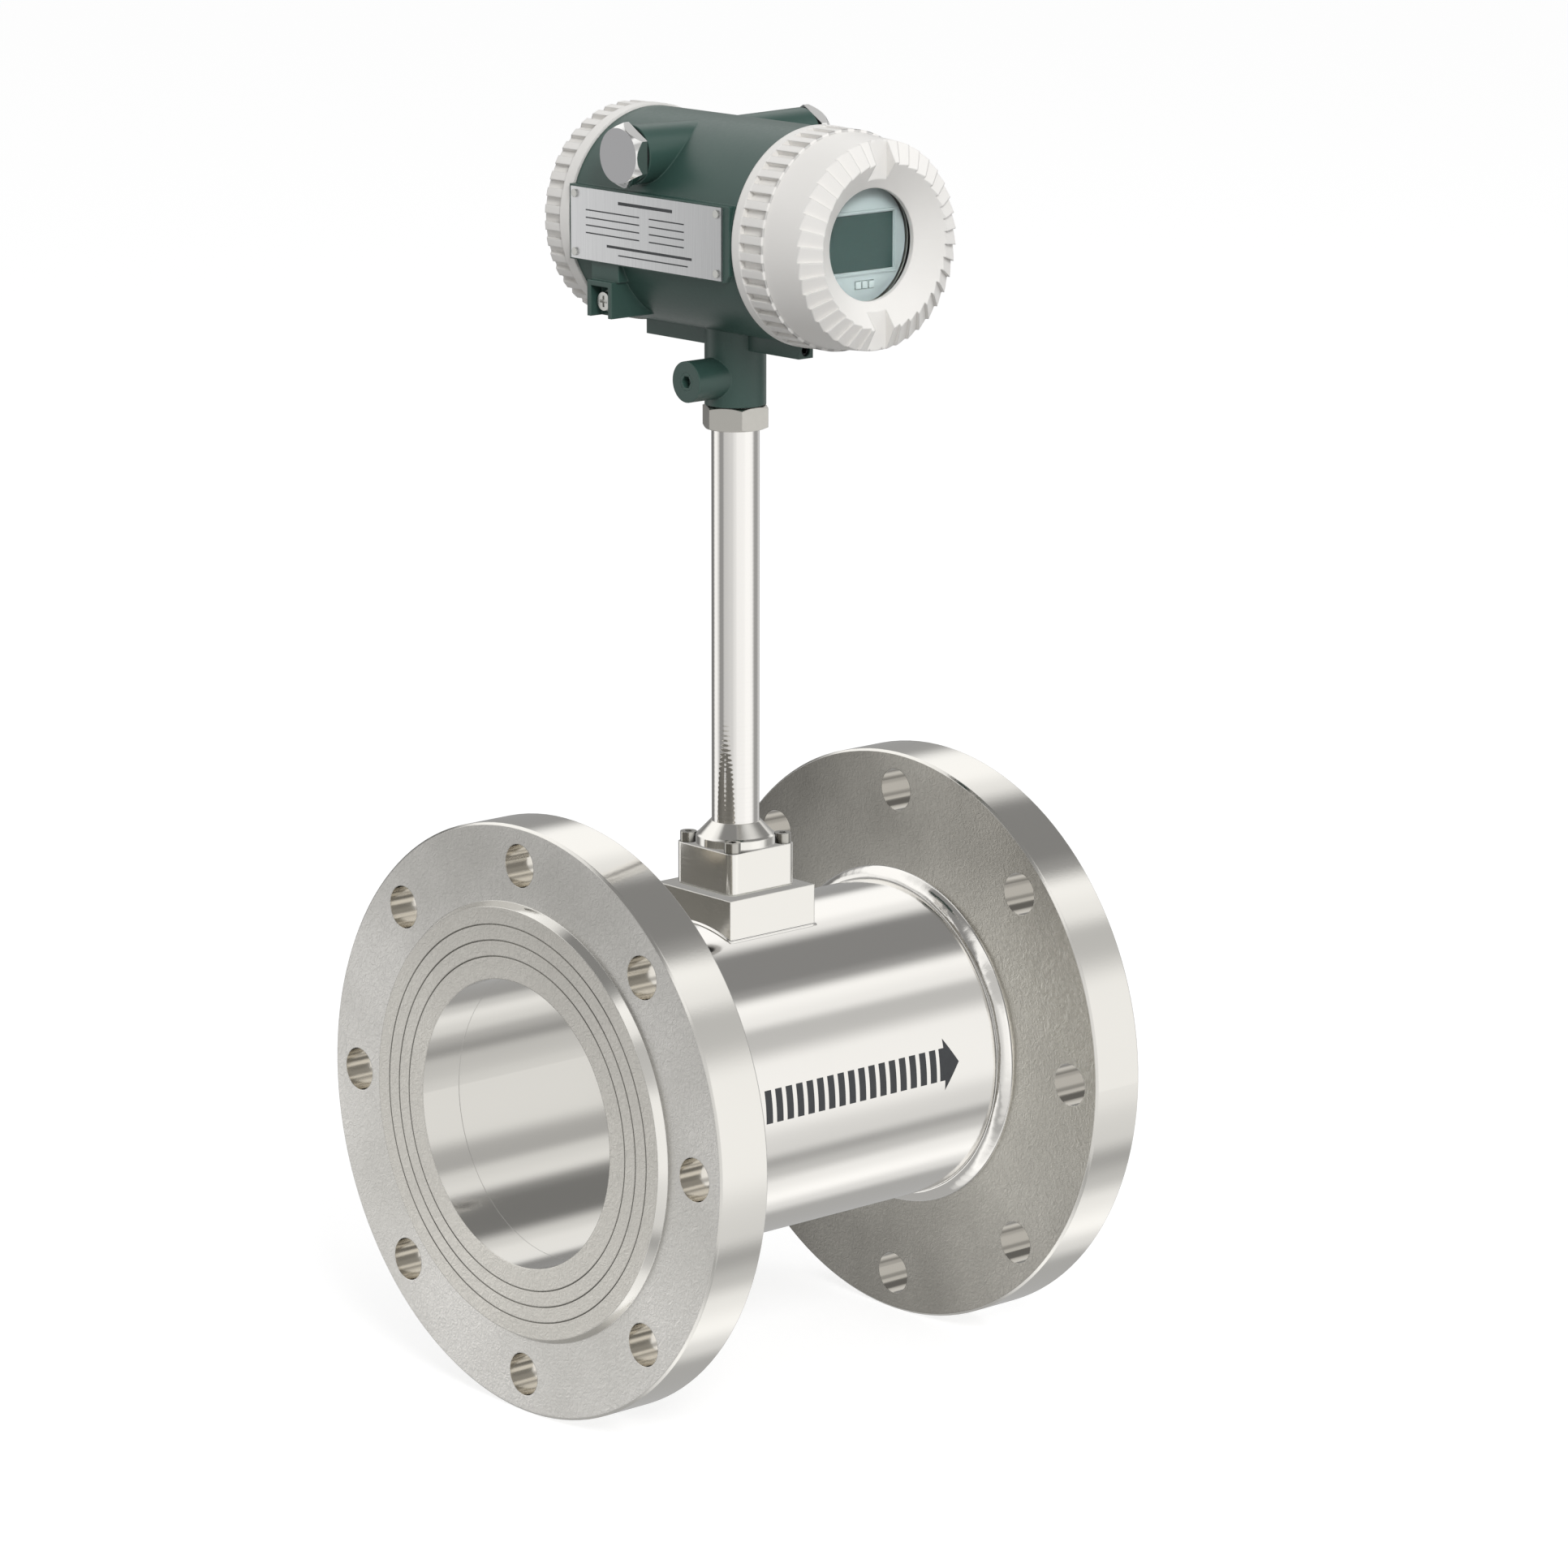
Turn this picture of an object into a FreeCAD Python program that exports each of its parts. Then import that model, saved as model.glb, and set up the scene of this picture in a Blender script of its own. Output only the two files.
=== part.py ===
import FreeCAD, Part
import math
import os
from types import SimpleNamespace

import Sketcher

# Vortex flow meter: a flanged run of pipe with a shedder bar and a probe in it, and a display
# head that stands on a stem above it. Millimetres. The origin is the centre of the inlet's
# sealing face, +X is the flow, +Z points up the stem, and the display faces -Y.

DRIVING_SIZES = {
    # Pipe run
    "face_to_face": 200.0,
    "tube_radius": 57.15,
    "tube_wall": 6.95,
    "flange_radius": 103.5,
    "flange_thickness": 21.0,
    "flange_bevel": 0.8,
    "raised_height": 3.0,
    "raised_radius": 75.0,
    "raised_slope": 1.7,
    "socket_depth": 8.0,
    "bolt_edge": 13.5,
    "bolt_hole_radius": 7.5,
    "bolt_count": 8,
    "gasket_line_start": 7.8,
    "gasket_line_pitch": 5.5,
    "gasket_line_width": 0.35,
    "gasket_line_depth": 0.5,
    "weld_leg": 4.2,
    # Shedder bar, a trapezoid seen from above, broad side upstream
    "bar_front": 62.0,
    "bar_length": 28.0,
    "bar_width": 28.0,
    "bar_tail": 10.0,
    # Sensor seat, gasket, bonnet and their screws
    "seat_width": 39.0,
    "seat_height": 11.05,
    "seat_sink": 12.15,
    "gasket_thickness": 0.6,
    "gasket_margin": 0.3,
    "bonnet_width": 30.0,
    "bonnet_height": 14.3,
    "bonnet_corner": 3.0,
    "bonnet_bore": 5.5,
    "cap_screw_offset": 11.6,
    "cap_screw_radius": 1.5,
    "cap_screw_depth": 8.0,
    "cap_head_radius": 2.9,
    "cap_head_height": 3.6,
    "cap_socket_flats": 2.6,
    "cap_socket_depth": 1.9,
    # Probe
    "probe_radius": 6.9,
    "probe_play": 0.1,
    "probe_collar_radius": 9.5,
    "probe_collar_height": 3.0,
    "probe_seal_height": 0.8,
    "probe_neck_radius": 4.0,
    "probe_shoulder_depth": 13.15,
    "paddle_length": 20.0,
    "paddle_width": 11.0,
    "paddle_thickness": 3.0,
    "lead_radius": 1.5,
    "lead_plug_radius": 2.6,
    "lead_plug_length": 9.0,
    # Stem
    "collar_radius": 13.9,
    "collar_height": 2.9,
    "cone_radius": 13.1,
    "cone_step": 0.6,
    "base_height": 8.1,
    "base_lip": 0.4,
    "stem_seat_depth": 3.0,
    "stem_radius": 8.3,
    "stem_bore": 5.5,
    "spigot_radius": 7.4,
    "spigot_length": 28.0,
    "spigot_play": 0.06,
    "nut_drop": 70.0,
    "nut_height": 8.0,
    "nut_flats": 20.6,
    "nut_bevel": 0.7,
    "neck_gap": 0.3,
    # Head housing, measured from the head's own centre
    "head_height": 299.0,
    "barrel_radius": 36.6,
    "barrel_front": 40.35,
    "barrel_rear": 43.4,
    "thread_radius": 32.5,
    "thread_length": 10.1,
    "mouth_radius": 29.5,
    "chamber_radius": 32.2,
    "chamber_ramp": 2.6,
    "partition_front": 8.0,
    "partition_rear": 4.5,
    "neck_radius": 10.6,
    "neck_reach": 33.5,
    "lead_passage": 3.6,
    "rib_width": 6.5,
    "rib_bottom": 42.0,
    "rib_front": 36.0,
    "rib_rear": 42.9,
    "conduit_height": 25.8,
    "conduit_rear": 9.4,
    "conduit_face": 38.5,
    "conduit_boss_radius": 10.2,
    "conduit_draft": 1.2,
    "conduit_hole_radius": 7.0,
    "plate_pad_face": 37.0,
    "plate_pad_front": 39.0,
    "plate_pad_corner": 2.5,
    "plate_pad_margin": 0.6,
    "ground_face": 38.0,
    "ground_front": 20.5,
    "ground_rear": 33.2,
    "ground_bottom": 31.3,
    "ground_top": 18.9,
    "ground_wall": 1.8,
    "ground_recess": 5.0,
    "ground_web_face": 36.0,
    "ground_web_front": 19.1,
    "lock_boss_radius": 7.1,
    "lock_boss_face": 22.2,
    "lock_boss_drop": 52.0,
    "lock_screw_radius": 3.1,
    "lock_screw_length": 14.6,
    "lock_socket_flats": 3.9,
    "lock_socket_depth": 3.0,
    "cover_screw_radius": 1.9,
    "cover_screw_drop": 39.3,
    "cover_screw_hole_depth": 12.0,
    "cover_screw_inset": 0.8,
    "cover_screw_flats": 2.0,
    "cover_screw_socket": 1.8,
    # Covers
    "cover_gap": 0.3,
    "thread_play": 0.3,
    "rim_radius": 37.4,
    "rim_width": 3.65,
    "grip_step": 0.2,
    "grip_length": 10.7,
    "grip_depth": 2.0,
    "grip_gap_width": 2.9,
    "grip_count": 40,
    "band_radius": 36.3,
    "front_edge": 72.0,
    "front_edge_radius": 35.1,
    "crest_radius": 28.9,
    "crest_width": 0.9,
    "knurl_slope": 29.4,
    "knurl_depth": 1.3,
    "knurl_overrun": 2.0,
    "window_radius": 18.9,
    "window_edge": 68.6,
    "window_lip": 1.7,
    "tool_slot_width": 8.6,
    "tool_slot_floor": 71.0,
    "tool_slot_start": 12.0,
    "glass_radius": 23.5,
    "glass_play": 0.1,
    "glass_thickness": 4.4,
    "glass_ring_inner": 20.9,
    "glass_ring_outer": 27.0,
    "glass_ring_width": 5.0,
    "ring_slot_width": 2.5,
    "ring_slot_depth": 1.5,
    "cover_bore_depth": 11.5,
    "seal_inner": 33.5,
    "seal_outer": 35.5,
    "seal_height": 1.8,
    "seal_play": 0.1,
    "rear_back": 63.6,
    "rear_back_radius": 29.5,
    "rear_wall": 5.0,
    "rear_hollow_radius": 29.0,
    "rear_rim_width": 4.8,
    "rear_grip_length": 8.1,
    "rear_grip_runout": 2.0,
    "rear_slot_floor": 61.2,
    # Electronics in the front chamber
    "bushing_radius": 3.9,
    "bushing_play": 0.1,
    "bushing_flange_radius": 6.0,
    "bushing_flange": 1.6,
    "bushing_bore": 1.5,
    "module_radius": 27.0,
    "module_length": 30.0,
    "spacer_length": 14.0,
    "spacer_radius": 2.0,
    "spacer_x": 9.5,
    "spacer_z": 13.5,
    "board_thickness": 1.6,
    "display_board_radius": 20.3,
    "bezel_radius": 20.4,
    "bezel_wall": 0.9,
    "bezel_face": 61.6,
    "bezel_plate": 1.6,
    "panel_width": 30.4,
    "panel_height": 19.0,
    "panel_play": 0.1,
    "panel_step": 0.8,
    "panel_inset": 0.4,
    "frame_margin": 1.2,
    "frame_line": 0.8,
    "frame_rise": 0.4,
    "key_width": 2.2,
    "key_height": 2.4,
    "key_pitch": 3.0,
    "key_row_offset": 2.0,
    "key_row_drop": 14.1,
    "key_play": 0.2,
    "key_rise": 0.5,
    "key_clear": 0.7,
    "key_stop": 0.8,
    "key_stop_gap": 0.1,
    "small_screw_radius": 1.15,
    "small_hole_play": 0.1,
    "small_head_radius": 1.9,
    "small_head_height": 1.3,
    "small_screw_length": 8.0,
    # Terminals in the rear chamber
    "post_radius": 3.2,
    "post_spread": 20.0,
    "post_length": 26.5,
    "post_count": 3,
    "terminal_board_radius": 28.5,
    "block_width": 40.0,
    "block_height": 15.0,
    "block_depth": 10.5,
    "terminal_pitch": 6.4,
    "terminal_slot_width": 5.0,
    "terminal_slot_depth": 3.6,
    "terminal_head_radius": 2.1,
    "terminal_head_height": 1.6,
    "terminal_screw_radius": 1.3,
    "terminal_screw_length": 4.5,
    # Plugs, plate and ground screw
    "plug_washer": 0.8,
    "plug_hex_flats": 19.2,
    "plug_hex_length": 4.9,
    "plug_face_radius": 9.4,
    "plug_bevel_slope": 1.6,
    "plug_seal_radius": 9.5,
    "plug_shank_length": 13.0,
    "plug_play": 0.05,
    "plate_length": 77.8,
    "plate_height": 24.5,
    "plate_thickness": 0.8,
    "plate_offset": 3.0,
    "rivet_inset": 2.3,
    "rivet_radius": 0.9,
    "rivet_head_radius": 1.4,
    "rivet_head": 0.6,
    "rivet_depth": 2.4,
    "ground_screw_radius": 1.9,
    "ground_screw_length": 7.0,
    "ground_head_radius": 3.2,
    "ground_head_height": 2.4,
    "ground_washer_radius": 3.7,
    "ground_washer_thickness": 0.8,
    # Driver recesses
    "drive_width": 0.9,
    "drive_length": 3.8,
    "drive_depth": 0.9,
}


# A cut that takes off less than this many cubic millimetres is taken for one that missed
CUT_LEAST = 0.01


class Size:
    """A size from the sheet or worked out from it: its value now, and the formula that binds it."""

    def __init__(self, value, formula):
        self.value = value
        self.formula = formula

    def __add__(self, other):
        other = as_size(other)
        return Size(self.value + other.value, f"({self.formula} + {other.formula})")

    def __sub__(self, other):
        other = as_size(other)
        return Size(self.value - other.value, f"({self.formula} - {other.formula})")

    def __mul__(self, other):
        other = as_size(other)
        return Size(self.value * other.value, f"({self.formula} * {other.formula})")

    def __truediv__(self, other):
        other = as_size(other)
        return Size(self.value / other.value, f"({self.formula} / {other.formula})")

    def __radd__(self, other):
        return as_size(other) + self

    def __rsub__(self, other):
        return as_size(other) - self

    def __rmul__(self, other):
        return as_size(other) * self

    def __neg__(self):
        return Size(-self.value, f"(0 - {self.formula})")


def as_size(number):
    return number if isinstance(number, Size) else Size(float(number), f"({float(number)})")


def tangent(angle):
    return Size(math.tan(math.radians(angle.value)), f"tan({angle.formula} * 1 deg)")


doc = FreeCAD.newDocument("VortexFlowMeter")
sheet = doc.addObject("Spreadsheet::Sheet", "Sizes")
for row, (name, number) in enumerate(DRIVING_SIZES.items(), start=1):
    sheet.set(f"A{row}", name)
    sheet.set(f"B{row}", str(number))
    sheet.setAlias(f"B{row}", name)
doc.recompute()
s = SimpleNamespace(**{name: Size(number, f"Sizes.{name}") for name, number in DRIVING_SIZES.items()})

parts = {}


def bind(thing, path, size):
    thing.setExpression(path, as_size(size).formula)


def new_body(name, x=0, y=0, z=0):
    """An empty body that will be the sub-part of that name, with its own origin at x, y, z."""
    body = doc.addObject("PartDesign::Body", name)
    body.Label = name
    body.AllowCompound = True
    for axis, size in zip("xyz", (x, y, z)):
        bind(body, f"Placement.Base.{axis}", size)
    parts[name] = body
    return body


def origin_feature(body, role):
    return next(feature for feature in body.Origin.OriginFeatures if feature.Role == role)


def new_sketch(body, plane, offset=0):
    """A sketch on the XY, XZ or YZ plane, moved along that plane's normal: +Z, -Y or +X."""
    sketch = body.newObject("Sketcher::SketchObject", f"{body.Name}_sketch")
    sketch.AttachmentSupport = [(origin_feature(body, f"{plane}_Plane"), "")]
    sketch.MapMode = "FlatFace"
    bind(sketch, "AttachmentOffset.Base.z", offset)
    return sketch


def dimension(sketch, kind, geometry, place, size):
    size = as_size(size)
    spot = (geometry,) if place is None else (geometry, place)
    index = sketch.addConstraint(Sketcher.Constraint(kind, *spot, size.value))
    bind(sketch, f"Constraints[{index}]", size)


def polygon(sketch, corners):
    """A closed outline through the corners, each tied to the sheet by its two coordinates."""
    first = sketch.GeometryCount
    points = [FreeCAD.Vector(as_size(x).value, as_size(y).value, 0) for x, y in corners]
    for start, end in zip(points, points[1:] + points[:1]):
        sketch.addGeometry(Part.LineSegment(start, end), False)
    for index, (x, y) in enumerate(corners):
        line = first + index
        line_before = first + (index - 1) % len(corners)
        sketch.addConstraint(Sketcher.Constraint("Coincident", line_before, 2, line, 1))
        dimension(sketch, "DistanceX", line, 1, x)
        dimension(sketch, "DistanceY", line, 1, y)


def rectangle(sketch, x_low, x_high, y_low, y_high):
    polygon(sketch, [(x_low, y_low), (x_high, y_low), (x_high, y_high), (x_low, y_high)])


def hexagon(sketch, x, y, flats, first_corner=0):
    """A hexagon of that size across flats, with one corner at first_corner degrees."""
    corner_radius = flats / math.sqrt(3)
    corners = []
    for step in range(6):
        angle = math.radians(first_corner + 60 * step)
        corners.append((x + corner_radius * math.cos(angle), y + corner_radius * math.sin(angle)))
    polygon(sketch, corners)


def circle(sketch, x, y, radius):
    centre = FreeCAD.Vector(as_size(x).value, as_size(y).value, 0)
    round_line = sketch.addGeometry(
        Part.Circle(centre, FreeCAD.Vector(0, 0, 1), as_size(radius).value), False
    )
    dimension(sketch, "DistanceX", round_line, 3, x)
    dimension(sketch, "DistanceY", round_line, 3, y)
    dimension(sketch, "Radius", round_line, None, radius)


def revolve(body, sketch, axis):
    """Turn a sketch about its own H_Axis or V_Axis."""
    feature = body.newObject("PartDesign::Revolution", f"{body.Name}_turned")
    feature.Profile = sketch
    feature.ReferenceAxis = (sketch, [axis])
    feature.Angle = 360
    return feature


def groove(body, sketch, axis):
    feature = body.newObject("PartDesign::Groove", f"{body.Name}_groove")
    feature.Profile = sketch
    feature.ReferenceAxis = (sketch, [axis])
    feature.Angle = 360
    return feature


def pad(body, sketch, length, against=False):
    """Thicken a sketch along its normal, or against it."""
    feature = body.newObject("PartDesign::Pad", f"{body.Name}_pad")
    feature.Profile = sketch
    feature.Reversed = against
    bind(feature, "Length", length)
    return feature


def pocket(body, sketch, length, against=False):
    """Cut a sketch into the body, along its normal, or against it."""
    feature = body.newObject("PartDesign::Pocket", f"{body.Name}_pocket")
    feature.Profile = sketch
    feature.Reversed = not against
    bind(feature, "Length", length)
    return feature


def polar(body, feature, axis, count):
    pattern = body.newObject("PartDesign::PolarPattern", f"{body.Name}_ring")
    pattern.Originals = [feature]
    pattern.Axis = (origin_feature(body, f"{axis}_Axis"), [""])
    pattern.Angle = 360
    bind(pattern, "Occurrences", count)
    body.Tip = pattern
    return pattern


def fillet(body, radius, wanted):
    """Round the edges of the body so far that wanted(edge) picks."""
    doc.recompute()
    base = body.Tip
    names = [f"Edge{i}" for i, edge in enumerate(base.Shape.Edges, start=1) if wanted(edge)]
    feature = body.newObject("PartDesign::Fillet", f"{body.Name}_fillet")
    feature.Base = (base, names)
    bind(feature, "Radius", radius)
    return feature


def runs_along(edge, axis):
    """Whether a straight edge is parallel to the axis."""
    direction = edge.tangentAt(edge.FirstParameter)
    return isinstance(edge.Curve, Part.Line) and abs(abs(direction.dot(axis)) - 1) < 1e-6


# Sizes that follow from others
stem_x = s.face_to_face / 2
bore_radius = s.tube_radius - s.tube_wall
bolt_circle_radius = s.flange_radius - s.bolt_edge
seat_top = s.tube_radius + s.seat_height
flange_back = s.raised_height + s.flange_thickness
tube_start = flange_back - s.socket_depth
probe_hole = s.probe_radius + s.probe_play
bonnet_bottom = seat_top + s.gasket_thickness
bonnet_top = bonnet_bottom + s.bonnet_height
stem_bottom = bonnet_top + s.base_height - s.stem_seat_depth
nut_bottom = s.head_height - s.nut_drop
neck_bottom = nut_bottom + s.nut_height + s.neck_gap
spigot_top = nut_bottom + s.spigot_length
probe_top = bonnet_top + s.collar_height
conduit_drop = s.head_height + s.conduit_height


def flange(name, x, turn):
    """A flange with a raised sealing face, turned, drilled and grooved. Its face is at x = 0."""
    body = new_body(name, x)
    body.Placement.Rotation = FreeCAD.Rotation(FreeCAD.Vector(0, 0, 1), turn)
    profile = new_sketch(body, "XY")
    polygon(profile, [
        (0, bore_radius),
        (0, s.raised_radius),
        (s.raised_height, s.raised_radius + s.raised_slope),
        (s.raised_height, s.flange_radius - s.flange_bevel),
        (s.raised_height + s.flange_bevel, s.flange_radius),
        (flange_back - s.flange_bevel, s.flange_radius),
        (flange_back, s.flange_radius - s.flange_bevel),
        (flange_back, s.tube_radius),
        (tube_start, s.tube_radius),
        (tube_start, bore_radius),
    ])
    revolve(body, profile, "H_Axis")
    gasket_lines = new_sketch(body, "XY")
    for line in range(3):
        radius = bore_radius + s.gasket_line_start + s.gasket_line_pitch * line
        polygon(gasket_lines, [
            (-s.gasket_line_depth, radius - s.gasket_line_width),
            (-s.gasket_line_depth, radius + s.gasket_line_width),
            (s.gasket_line_depth, radius),
        ])
    groove(body, gasket_lines, "H_Axis")
    hole = new_sketch(body, "YZ")
    circle(hole, 0, bolt_circle_radius, s.bolt_hole_radius)
    drilled = pocket(body, hole, flange_back)
    polar(body, drilled, "X", s.bolt_count)


def weld_bead(name, x, direction):
    """The fillet weld that joins tube and flange, with equal legs on both."""
    body = new_body(name, x)
    profile = new_sketch(body, "XY")
    polygon(profile, [
        (0, s.tube_radius),
        (s.weld_leg * direction, s.tube_radius),
        (0, s.tube_radius + s.weld_leg),
    ])
    revolve(body, profile, "H_Axis")


# Pipe run: the tube seats in a socket in each flange, and a bead closes the joint
flange("inlet_flange", 0, 0)
flange("outlet_flange", s.face_to_face, 180)
weld_bead("inlet_weld", flange_back, 1)
weld_bead("outlet_weld", s.face_to_face - flange_back, -1)

tube = new_body("meter_tube")
tube_section = new_sketch(tube, "XY")
rectangle(tube_section, tube_start, s.face_to_face - tube_start, bore_radius, s.tube_radius)
revolve(tube, tube_section, "H_Axis")
tube_hole = new_sketch(tube, "XY")
circle(tube_hole, stem_x, 0, probe_hole)
pocket(tube, tube_hole, seat_top)

# Shedder bar: its ends are shaped to the bore, where it is welded
bar = new_body("shedder_bar")
bar_plan = new_sketch(bar, "XY", -bore_radius)
polygon(bar_plan, [
    (s.bar_front, -s.bar_width / 2),
    (s.bar_front + s.bar_length, -s.bar_tail / 2),
    (s.bar_front + s.bar_length, s.bar_tail / 2),
    (s.bar_front, s.bar_width / 2),
])
pad(bar, bar_plan, bore_radius * 2)
bar_ends = new_sketch(bar, "YZ")
circle(bar_ends, 0, 0, bore_radius)
circle(bar_ends, 0, 0, bore_radius * 2)
pocket(bar, bar_ends, s.face_to_face)

# Sensor seat: a square block, its underside shaped to the tube
seat = new_body("sensor_seat", stem_x)
seat_root = s.tube_radius - s.seat_sink
seat_plan = new_sketch(seat, "XY", seat_root)
seat_half = s.seat_width / 2
rectangle(seat_plan, -seat_half, seat_half, -seat_half, seat_half)
pad(seat, seat_plan, seat_top - seat_root)
seat_saddle = new_sketch(seat, "YZ", -s.seat_width)
circle(seat_saddle, 0, 0, s.tube_radius)
pocket(seat, seat_saddle, s.seat_width * 2)
seat_bore = new_sketch(seat, "XY")
circle(seat_bore, 0, 0, probe_hole)
pocket(seat, seat_bore, seat_top)
collar_seat = new_sketch(seat, "XY", seat_top)
circle(collar_seat, 0, 0, s.probe_collar_radius + s.probe_play)
pocket(seat, collar_seat, s.probe_collar_height + s.probe_seal_height, against=True)
seat_tap = new_sketch(seat, "XY", seat_top)
circle(seat_tap, s.cap_screw_offset, s.cap_screw_offset, s.cap_screw_radius)
polar(seat, pocket(seat, seat_tap, s.cap_screw_depth, against=True), "Z", 4)


def square_plate(name, width, bottom, height, bore, corner):
    """A square plate or block with rounded corners, a bore, and four screw holes."""
    body = new_body(name, stem_x)
    plan = new_sketch(body, "XY", bottom)
    rectangle(plan, -width / 2, width / 2, -width / 2, width / 2)
    pad(body, plan, height)
    upright = FreeCAD.Vector(0, 0, 1)
    fillet(body, corner, lambda edge: runs_along(edge, upright))
    bore_plan = new_sketch(body, "XY", bottom)
    circle(bore_plan, 0, 0, bore)
    pocket(body, bore_plan, height)
    screw_hole = new_sketch(body, "XY", bottom)
    circle(screw_hole, s.cap_screw_offset, s.cap_screw_offset, s.cap_screw_radius + s.probe_play)
    polar(body, pocket(body, screw_hole, height), "Z", 4)


gasket_width = s.bonnet_width - s.gasket_margin * 2
square_plate("sensor_gasket", gasket_width, seat_top, s.gasket_thickness, s.bonnet_bore,
             s.bonnet_corner - s.gasket_margin)
square_plate("sensor_bonnet", s.bonnet_width, bonnet_bottom, s.bonnet_height, s.bonnet_bore,
             s.bonnet_corner)

cap_screws = new_body("bonnet_screws", stem_x, 0, bonnet_top)
cap_head = new_sketch(cap_screws, "XY")
circle(cap_head, s.cap_screw_offset, s.cap_screw_offset, s.cap_head_radius)
first_head = pad(cap_screws, cap_head, s.cap_head_height)
cap_shank = new_sketch(cap_screws, "XY")
circle(cap_shank, s.cap_screw_offset, s.cap_screw_offset, s.cap_screw_radius)
shank_length = s.bonnet_height + s.gasket_thickness + s.cap_screw_depth
first_shank = pad(cap_screws, cap_shank, shank_length, against=True)
cap_socket = new_sketch(cap_screws, "XY", s.cap_head_height)
hexagon(cap_socket, s.cap_screw_offset, s.cap_screw_offset, s.cap_socket_flats)
first_socket = pocket(cap_screws, cap_socket, s.cap_socket_depth, against=True)
screw_ring = polar(cap_screws, first_head, "Z", 4)
screw_ring.Originals = [first_head, first_shank, first_socket]

# Probe: a collar held down by the bonnet, a round body in the seat, and a sensing paddle
probe = new_body("sensor_probe", stem_x)
probe_profile = new_sketch(probe, "XZ")
collar_bottom = seat_top - s.probe_collar_height
probe_shoulder = s.tube_radius - s.probe_shoulder_depth
polygon(probe_profile, [
    (0, probe_shoulder),
    (s.probe_radius, probe_shoulder),
    (s.probe_radius, collar_bottom),
    (s.probe_collar_radius, collar_bottom),
    (s.probe_collar_radius, seat_top),
    (s.probe_neck_radius, seat_top),
    (s.probe_neck_radius, probe_top),
    (0, probe_top),
])
revolve(probe, probe_profile, "V_Axis")
paddle = new_sketch(probe, "XY", probe_shoulder)
rectangle(paddle, -s.paddle_width / 2, s.paddle_width / 2,
          -s.paddle_thickness / 2, s.paddle_thickness / 2)
pad(probe, paddle, s.paddle_length, against=True)


def washer(name, x, y, z, plane, offset, inner, outer, height):
    """A flat ring, thickened along the plane's normal."""
    body = new_body(name, x, y, z)
    face = new_sketch(body, plane, offset)
    circle(face, 0, 0, inner)
    circle(face, 0, 0, outer)
    pad(body, face, height)
    return body


washer("probe_seal", stem_x, 0, collar_bottom - s.probe_seal_height, "XY", 0,
       probe_hole, s.probe_collar_radius, s.probe_seal_height)

lead = new_body("probe_lead", stem_x)
lead_profile = new_sketch(lead, "XZ")
lead_top = s.head_height + s.lead_plug_length / 2
polygon(lead_profile, [
    (0, probe_top),
    (s.lead_radius, probe_top),
    (s.lead_radius, lead_top - s.lead_plug_length),
    (s.lead_plug_radius, lead_top - s.lead_plug_length),
    (s.lead_plug_radius, lead_top),
    (0, lead_top),
])
revolve(lead, lead_profile, "V_Axis")

# Stem: a turned base on the bonnet, the tube with its reduced top, and the lock nut
base = new_body("stem_base", stem_x, 0, bonnet_top)
base_profile = new_sketch(base, "XZ")
base_seat = s.base_height - s.stem_seat_depth
polygon(base_profile, [
    (s.stem_bore, 0),
    (s.collar_radius, 0),
    (s.collar_radius, s.collar_height),
    (s.cone_radius, s.collar_height + s.cone_step),
    (s.stem_radius + s.base_lip, s.base_height),
    (s.stem_radius, s.base_height),
    (s.stem_radius, base_seat),
    (s.stem_bore, base_seat),
])
revolve(base, base_profile, "V_Axis")
# clearance for the screw heads beside the collar
head_relief = new_sketch(base, "XY")
circle(head_relief, s.cap_screw_offset, s.cap_screw_offset, s.cap_head_radius + s.probe_play)
polar(base, pocket(base, head_relief, s.base_height), "Z", 4)

stem = new_body("stem_tube", stem_x)
stem_profile = new_sketch(stem, "XZ")
polygon(stem_profile, [
    (s.stem_bore, stem_bottom),
    (s.stem_radius, stem_bottom),
    (s.stem_radius, nut_bottom),
    (s.spigot_radius, nut_bottom),
    (s.spigot_radius, spigot_top),
    (s.stem_bore, spigot_top),
])
revolve(stem, stem_profile, "V_Axis")

nut = new_body("stem_nut", stem_x, 0, nut_bottom)
nut_plan = new_sketch(nut, "XY")
hexagon(nut_plan, 0, 0, s.nut_flats)
circle(nut_plan, 0, 0, s.spigot_radius)
pad(nut, nut_plan, s.nut_height)
nut_corner = s.nut_flats / math.sqrt(3)
nut_flat_radius = s.nut_flats / 2
nut_bevels = new_sketch(nut, "XZ")
polygon(nut_bevels, [
    (nut_flat_radius, 0),
    (nut_corner * 1.1, 0),
    (nut_corner * 1.1, s.nut_bevel + (nut_corner * 0.1) * (s.nut_bevel / (nut_corner - nut_flat_radius))),
])
polygon(nut_bevels, [
    (nut_flat_radius, s.nut_height),
    (nut_corner * 1.1, s.nut_height),
    (nut_corner * 1.1,
     s.nut_height - s.nut_bevel - (nut_corner * 0.1) * (s.nut_bevel / (nut_corner - nut_flat_radius))),
])
groove(nut, nut_bevels, "V_Axis")

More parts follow.
